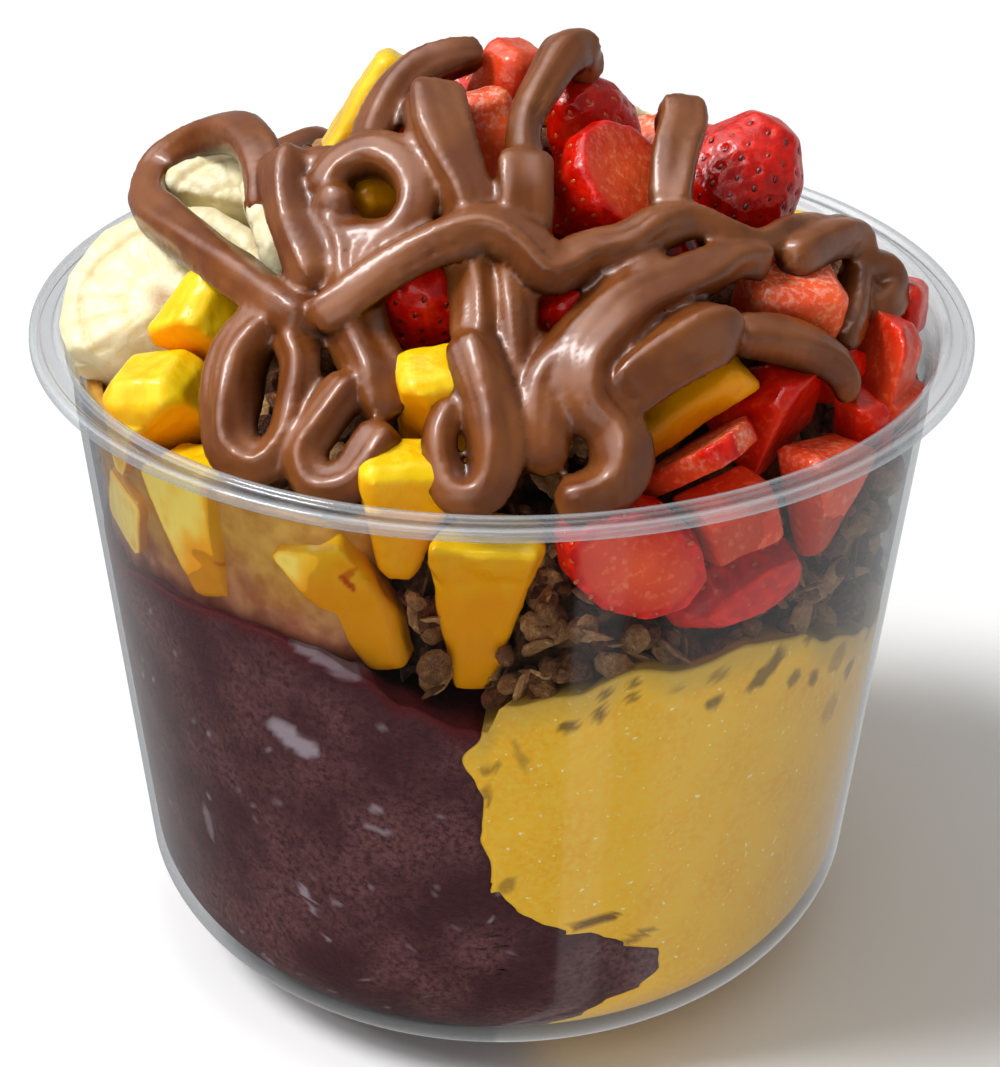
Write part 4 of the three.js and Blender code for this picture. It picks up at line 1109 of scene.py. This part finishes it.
# The chocolate: thick milk chocolate hazelnut spread piped to and fro over the heap. Its strands settle a
# little flat, sink into one another where they touch, and keep fine lines along them from the nozzle.
# Each strand: across, back, lift above the heap, and width at the places it passes.
STRANDS = {
    "loop": [(-28.5, -17.5, 0, 4.5), (-28, -14, 1, 5), (-29.5, -8, 1.5, 5), (-33, -1, 1.5, 4.5),
        (-38, 4, 1.5, 4.5), (-42.5, 5.5, 1.5, 5), (-43.5, -1, 1.5, 5), (-40.5, -8.5, 1, 5),
        (-35, -18, 1, 5), (-30, -25, 1.5, 5), (-25.5, -30.5, 2.5, 5.5), (-21.5, -34, 3, 5)],
    "sweep": [(-21.5, -34, 3, 5), (-17.5, -33.5, 3.5, 5), (-12, -32, 4, 5), (-7, -31, 4.5, 5),
        (-2, -30, 4.5, 5), (2, -31, 4, 5), (5.5, -32.5, 3, 5), (10, -29.5, 2, 4.5), (14, -28, 2, 5),
        (18, -25, 2.5, 4.6), (21.5, -23, 2.5, 4), (25.6, -22.5, 2.8, 3.2), (29.5, -21, 2.4, 2.8),
        (34, -15.5, 1.6, 3.2), (38, -9.5, 0.5, 2.5)],
    "right_arc": [(33, -21, 2, 4.5), (36, -17, 2, 5), (39.5, -12, 2, 5), (42.5, -8.5, 1.5, 4.5),
        (43.5, -9, 0, 4), (42, -13.5, -1.5, 4)],
    "far_right": [(43, -10.5, 0, 3.5), (46, -8, 0.5, 5), (47.5, -8, 0, 4.5), (46, -12.5, -0.5, 4),
        (44, -15, -1.5, 3.5)],
    "right_hook": [(26.2, -32.8, 3, 4), (32.2, -29.2, 1.5, 5), (36.2, -27.5, 1, 5), (39.1, -27, 1, 4.5),
        (40.6, -27.2, 0, 3.5), (40.4, -28.5, -1, 2)],
    "right_drop": [(43.5, -9, 0.5, 3.5), (41.5, -18.5, -1, 4), (40, -22.5, -0.5, 4)],
    "s_bend": [(31, -21, 1, 4), (27, -24, 2, 4.5), (23.5, -28, 3, 5), (19.5, -31, 3, 5.5),
        (15, -34, 3, 6), (12, -37, 3, 6.5), (9.5, -40, 3, 6.5), (10, -43, 3, 6.5), (12.5, -44.5, 3, 6),
        (13.5, -46.5, 3, 6), (12.5, -48, 2, 5.5), (9, -49.5, 2, 5), (6, -49.5, 1.5, 4.5)],
    "s_fold": [(12, -42.5, 3, 6), (15, -40.5, 3.5, 6.8), (19.5, -37.5, 4, 7.4), (23.5, -35, 4.5, 7.4),
        (27, -33.5, 4, 6)],
    "s_back": [(19, -27.5, 1.5, 4.5), (15.5, -30, 1.5, 5), (12.5, -33, 1, 5), (8.5, -37, 0.5, 6),
        (5, -40.5, 0.5, 6), (4.5, -44, 0.5, 6), (5, -47.5, 0.5, 5)],
    "front_loop": [(-4, -37.5, 2, 4.5), (-2.5, -41.5, 3, 5.2), (-1, -45, 3, 5.5), (-0.5, -48, 3, 5.2),
        (-2, -50, 2.5, 4.5), (-5, -50, 2.5, 4), (-6.5, -48, 2.5, 3.6), (-6.8, -45.5, 2.5, 3.4),
        (-5.2, -42.5, 1.5, 3.4)],
    "mid_left": [(-8.8, -12, 4, 6.5), (-7.5, -18.5, 4, 7), (-6, -22, 3.5, 6.5), (-4, -26, 2.5, 6),
        (-3.5, -29, 0.5, 5.5), (-3, -32, -0.5, 5.5), (-3, -38.5, 1, 5)],
    "mid_right": [(2.4, -21.2, 3.6, 6.2), (2.5, -25.5, 3.5, 6), (2.5, -28, 1.5, 5.5),
        (1.5, -31, -0.5, 5), (1.5, -35.5, -0.5, 4.5), (2, -39.5, -1, 4.5), (2.5, -44, -1, 4)],
    "top_left": [(-2.5, -3.2, 1.2, 3.5), (-6, -4.8, 1.8, 4.5), (-10, -6.5, 2, 5), (-13, -9.5, 2, 5),
        (-15, -13.5, 1.5, 4.5), (-16, -18.5, 2, 4.5)],
    "top_right": [(2.5, -24, 3.5, 4), (2.5, -16.5, 3, 3.5), (5, -11, 3.5, 4.5), (7, -6.5, 3.5, 5.5),
        (9, -3.5, 2, 5), (10, -5, -0.5, 3.5)],
    "right_post": [(20.5, -7.8, 3, 5.5), (21, -11.5, 3, 5.5), (20, -16, 2.5, 5.5), (19.5, -20.5, 2, 5),
        (19.5, -23, 2, 4.5)],
    "left_post": [(-25, -13.5, 3.5, 5.5), (-25.3, -16.5, 3.2, 5.5), (-25, -20, 3, 4.8),
        (-24.3, -23, 3, 4.5), (-22.5, -27, 3, 5.5), (-20.5, -31, 2.5, 5.5)],
    "ring": [(-21.5, -21, 2.5, 4.5), (-18.5, -18.5, 3, 4.5), (-14.5, -19, 3.5, 4.8),
        (-11, -22, 3.5, 4.8), (-10, -25.5, 3, 4.5), (-12, -27.5, 2, 4.5), (-16.5, -26.5, 1.5, 4.5),
        (-19.5, -25, 1, 4.5)],
    "small_curl": [(-17, -31, 2.5, 4.5), (-15.5, -28.5, 2.5, 4), (-13, -28, 2.5, 4), (-11, -29, 2, 4)],
    "lump": [(-24, -15, 2, 4), (-21.5, -15.5, 1.5, 4), (-18, -17, 1.5, 4)],
    "left_under": [(-20.5, -21.5, 1, 4.5), (-18, -26.5, 1, 6), (-17.5, -30.5, 0.5, 6),
        (-16, -34.5, -1, 6), (-14, -38, -1, 6), (-13, -42, -0.5, 4)],
    "left_u": [(-26.5, -30.5, 2, 5.2), (-30, -32.5, 2, 5.6), (-31, -36, 2, 5.8), (-30.5, -40.5, 2, 5.4),
        (-27, -43, 2, 4.5), (-24.5, -42, 2, 4), (-23.5, -39.5, 2, 3.6), (-23, -36, 2, 3.8),
        (-24.5, -33, 2, 4)],
    "front_u": [(-16.5, -38.5, 1, 4.5), (-20, -42, 2, 4.5), (-22, -44, 2, 4.5), (-20.5, -46.5, 2, 4.5),
        (-17, -47, 2, 4.5), (-14.5, -45.5, 2, 5), (-12.5, -43.5, 1.5, 4.8)],
    "ring_end": [(-16.9, -23.5, 3, 4), (-19.1, -22.8, 3, 4.8), (-21, -21, 2.5, 4.5)],
}
# Behind the peak it goes to and fro: start, end, width of a bend, bends, and lifts at start, middle and end
BACK_SWEEPS = {
    "back_high": ((-23, 36), (24, 33), 6, 2, (0, -5, -7)),
    "back_low": ((-26, 42), (27, 35), 5, 2, (0, -1, -5)),
    "back_side": ((-42, 5), (-22, 43), 5, 1, (0, -8, 0)),
}
BACK_WIDTH = 5.5
STRAND_STEP = 0.5
STRAND_SIDES = 32
STRAND_SWELL = 1.03
CHOCOLATE_CELL = 0.56
NOZZLE_LINE = 0.14
# How each strand has settled: squareness of its section, and degrees that its flats lean from level
SETTLED = {
    "s_fold": (12, 50), "mid_left": (10, 42), "right_post": (9, 60), "left_post": (7, 55), "left_u": (9, 52),
    "front_u": (7, 45), "sweep": (6, 48), "loop": (5, 45), "mid_right": (7, 20), "right_hook": (6, 45),
    "right_arc": (6, 45), "left_under": (7, 30), "front_loop": (5, 50), "s_bend": (6, 55),
}
PLAIN_SETTLED = (4, 35)


def bend_points(start, end, swing, bends, lifts):
    """The places that a strand passes as it swings from side to side between two ends."""
    (x0, y0), (x1, y1) = start, end
    length = math.hypot(x1 - x0, y1 - y0)
    side_x, side_y = -(y1 - y0) / length, (x1 - x0) / length
    route = []
    for along in np.linspace(0, 1, bends * 4 + 1):
        swung = math.sin(along * bends * 2 * math.pi) * swing / 2
        route.append((x0 + (x1 - x0) * along + side_x * swung, y0 + (y1 - y0) * along + side_y * swung,
                      float(between(list(zip((0, 0.5, 1), lifts)), along)), BACK_WIDTH))
    return route


def smooth_route(route):
    """Places a step apart on a smooth curve through a route, their widths, and how far along each is."""
    route = np.array(route, float)
    knots = np.concatenate([[2 * route[0] - route[1]], route, [2 * route[-1] - route[-2]]])
    height = heap_height(knots[:, 0], knots[:, 1]) + knots[:, 2]
    where = np.concatenate([knots[:, :2], height[:, None]], 1)
    where[0], where[-1] = 2 * where[1] - where[2], 2 * where[-2] - where[-3]
    dense, widths = [], []
    for i in range(1, len(route)):
        p0, p1, p2, p3 = where[i - 1 : i + 3]
        d0, d1, d2 = (np.linalg.norm(b - a) ** 0.5 for a, b in ((p0, p1), (p1, p2), (p2, p3)))
        t1 = ((p1 - p0) / d0 - (p2 - p0) / (d0 + d1) + (p2 - p1) / d1) * d1
        t2 = ((p2 - p1) / d1 - (p3 - p1) / (d1 + d2) + (p3 - p2) / d2) * d1
        for t in np.linspace(0, 1, 24, endpoint=i == len(route) - 1):
            bend = (-3 * p1 + 3 * p2 - 2 * t1 - t2) * t**2 + (2 * p1 - 2 * p2 + t1 + t2) * t**3
            dense.append(p1 + t1 * t + bend)
            widths.append(route[i - 1, 3] + (route[i, 3] - route[i - 1, 3]) * t)
    dense, widths = np.array(dense), np.array(widths)
    along = np.append(0, np.cumsum(np.linalg.norm(np.diff(dense, axis=0), axis=1)))
    places = np.linspace(0, along[-1], max(8, round(along[-1] / STRAND_STEP)))
    centre = np.stack([np.interp(places, along, dense[:, k]) for k in range(3)], 1)
    return centre, np.interp(places, along, widths), places


def strand(route, square, lean, seed):
    """A piped strand: rounded ends, a softly squared section that leans, and fine lines along it."""
    centre, width, places = smooth_route(route)
    tangent = np.gradient(centre, axis=0)
    tangent /= np.linalg.norm(tangent, axis=1)[:, None]
    x, y, step = centre[:, 0], centre[:, 1], 0.5
    slope_x = heap_height(x + step, y) - heap_height(x - step, y)
    slope_y = heap_height(x, y + step) - heap_height(x, y - step)
    outward = np.stack([-slope_x, -slope_y, np.full(len(centre), 2 * step)], 1)
    for _ in range(8):
        outward[1:-1] = (outward[:-2] + outward[1:-1] + outward[2:]) / 3
    outward -= tangent * np.sum(outward * tangent, axis=1)[:, None]
    outward /= np.linalg.norm(outward, axis=1)[:, None]
    aside = np.cross(tangent, outward)
    around, along = np.meshgrid(np.arange(STRAND_SIDES) * 2 * np.pi / STRAND_SIDES, places)
    turn = around - math.radians(lean) - 0.35 * np.sin(along / 9 + seed)
    squared = (np.abs(np.cos(turn)) ** square + np.abs(np.sin(turn)) ** square) ** (-1 / square)
    lines = np.stack([np.cos(around), np.sin(around), along / 14], -1).reshape(-1, 3)
    ridge = (0.08 * grain(lines, 0.8, seed + 3) + 0.05 * grain(lines, 0.4, seed + 4)).reshape(around.shape)
    near_end = np.minimum(places, places[-1] - places) / (0.45 * width)
    taper = np.sqrt(np.clip(1 - (1 - np.clip(near_end, 0, 1)) ** 2, 0.02, 1))
    uneven = 1 + 0.07 * grain(np.stack([places, 0 * places, 0 * places], 1), 6, seed)
    reach = (STRAND_SWELL * width / 2 * taper * uneven)[:, None] * (squared * 0.97 + ridge)
    points = centre[:, None] + reach[..., None] * (
        np.cos(around)[..., None] * aside[:, None] + np.sin(around)[..., None] * outward[:, None])
    points = points.reshape(-1, 3)
    faces = []
    for row in range(len(centre) - 1):
        for i in range(STRAND_SIDES):
            j = (i + 1) % STRAND_SIDES
            a, b = row * STRAND_SIDES, (row + 1) * STRAND_SIDES
            faces.append((a + i, a + j, b + j, b + i))
    last = (len(centre) - 1) * STRAND_SIDES
    for start, end, order in ((0, centre[0], -1), (last, centre[-1], 1)):
        points = np.concatenate([points, [end]])
        for i in range(STRAND_SIDES):
            j = (i + 1) % STRAND_SIDES
            faces.append((start + i, start + j, len(points) - 1)[::order])
    fine = np.stack([np.cos(around), np.sin(around), along / 30], -1).reshape(-1, 3)
    # Painted shade: the lower sides of each strand are marked for darkening.
    under = np.clip((0.55 - np.sin(around)) / 0.85, 0, 1).reshape(-1)
    marks = {"line": grain(fine, 0.24, seed + 5), "under": under}
    return points, faces, {name: np.append(values, (0, 0)) for name, values in marks.items()}


def milk_chocolate():
    """Milk chocolate spread: warm brown, smooth, with a soft shine, and painted shade down its sides."""
    material, principled = new_material("milk_chocolate")
    clouds = ranged(material, pattern(material, 6, 2), 0.35, 0.65)
    shade = blend(material, clouds, colour("#6e3813"), colour("#82491f"))
    # Painted shade: the strands' undersides go dark brown.
    shade = blend(material, mark(material, "under"), shade, colour("#280f04"))
    link(material, shade, principled, "Base Color")
    principled.inputs["Roughness"].default_value = 0.28
    principled.inputs["IOR"].default_value = 1.46
    principled.inputs["Specular IOR Level"].default_value = 0.55
    return material


parts = []
for seed, (name, route) in enumerate(STRANDS.items()):
    parts.append(strand(route, *SETTLED.get(name, PLAIN_SETTLED), seed))
for seed, bend in enumerate(BACK_SWEEPS.values()):
    parts.append(strand(bend_points(*bend), *PLAIN_SETTLED, 50 + seed))
strand_points, strand_faces, strand_marks = joined(parts)
points, faces = remeshed(strand_points, strand_faces, CHOCOLATE_CELL, 1)
nearest = KDTree(len(strand_points))
for i, place in enumerate(strand_points):
    nearest.insert(place, i)
nearest.balance()
found = [nearest.find(place)[1] for place in points]
points = points + normals_of(points, faces) * (NOZZLE_LINE * strand_marks["line"][found])[:, None]
chocolate = make_object("piped_chocolate", points, faces, {"under": strand_marks["under"][found]})
chocolate.data.materials.append(milk_chocolate())
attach(chocolate, "root")
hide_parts("chocolate_drizzle")


# The floor and light: a plain pale floor in a white studio, with a soft lamp high on the left, a weaker one
# overhead and another in front. What shines on the tub's wall comes from the studio's sides: a bright one
# on the right, in two panels, and one on the left.
FLOOR_REACH = 30000
floor_corners = [(x * FLOOR_REACH, y * FLOOR_REACH, 0) for x, y in ((-1, -1), (1, -1), (1, 1), (-1, 1))]
floor = make_object("floor", floor_corners, [(0, 1, 2, 3)])
material, principled = new_material("pale_floor")
principled.inputs["Base Color"].default_value = colour("#f8f8f8")
principled.inputs["Roughness"].default_value = 0.9
floor.data.materials.append(material)
floor.visible_glossy = False

ROOM_LIGHT = 0.18
SHINE_ABOVE = 0.35
SHINE_BELOW = 0.02
SHINE_RIGHT = 0.6
SHINE_LEFT = 0.4
SHINE_KEY = 4.2
KEY_SIDE = (-0.56, -0.1, 0.82)

world = bpy.data.worlds.new("studio")
bpy.context.scene.world = world
world.use_nodes = True
background = world.node_tree.nodes["Background"]


def room_step(value, low, high, first, last):
    """first below low, last above high, smooth between."""
    return ranged(world, value, low, high, first, last)


def room_math(operation, *values):
    """The output of a maths node of the studio."""
    return maths(world, operation, *values)


direction = add_node(world, "ShaderNodeTexCoord").outputs["Generated"]
parts_of = add_node(world, "ShaderNodeSeparateXYZ", {0: direction}).outputs
aside = room_math("ARCTAN2", parts_of["X"], room_math("MULTIPLY", parts_of["Y"], -1.0))
right = room_math("MULTIPLY", room_step(aside, 0.36, 0.4, 0.0, 1.0), room_step(aside, 0.6, 0.66, 1.0, 0.3))
right = room_math("MAXIMUM", right, room_step(aside, 0.72, 1.0, 0.0, 1.0))
left = room_step(aside, -2.6, -1.5, SHINE_LEFT, 0.0)
below = room_math("ADD", room_math("MULTIPLY_ADD", right, SHINE_RIGHT, SHINE_BELOW), left)
above = room_step(parts_of["Z"], -0.1, 0.25, 0.0, 1.0)
towards_key = add_node(world, "ShaderNodeVectorMath", {0: direction, 1: KEY_SIDE}, operation="DOT_PRODUCT")
high = room_step(towards_key.outputs["Value"], 0.55, 0.92, SHINE_ABOVE, SHINE_KEY)
shine = add_node(world, "ShaderNodeMix", {0: above, 2: below, 3: high}).outputs[0]
path = add_node(world, "ShaderNodeLightPath").outputs
strength = add_node(world, "ShaderNodeMix", {0: path["Is Glossy Ray"], 2: ROOM_LIGHT, 3: shine}).outputs[0]
background.inputs["Color"].default_value = (1, 1, 1, 1)
link(world, strength, background, "Strength")


def lamp(name, side, spread, strength):
    """A far soft lamp: the side that it stands on, how many degrees wide it looks, and its light in W/m2."""
    light = bpy.data.lights.new(name, "SUN")
    light.angle = math.radians(spread)
    light.energy = strength
    held = bpy.data.objects.new(name, light)
    held.rotation_euler = Vector(side).to_track_quat("Z", "Y").to_euler()
    bpy.context.scene.collection.objects.link(held)


lamp("key", KEY_SIDE, 20, 2.9)
lamp("overhead", (0.1, 0.1, 1), 80, 0.5)
lamp("front", (-0.35, -1, 0.1), 40, 0.7)
bpy.context.scene.view_settings.view_transform = "Standard"
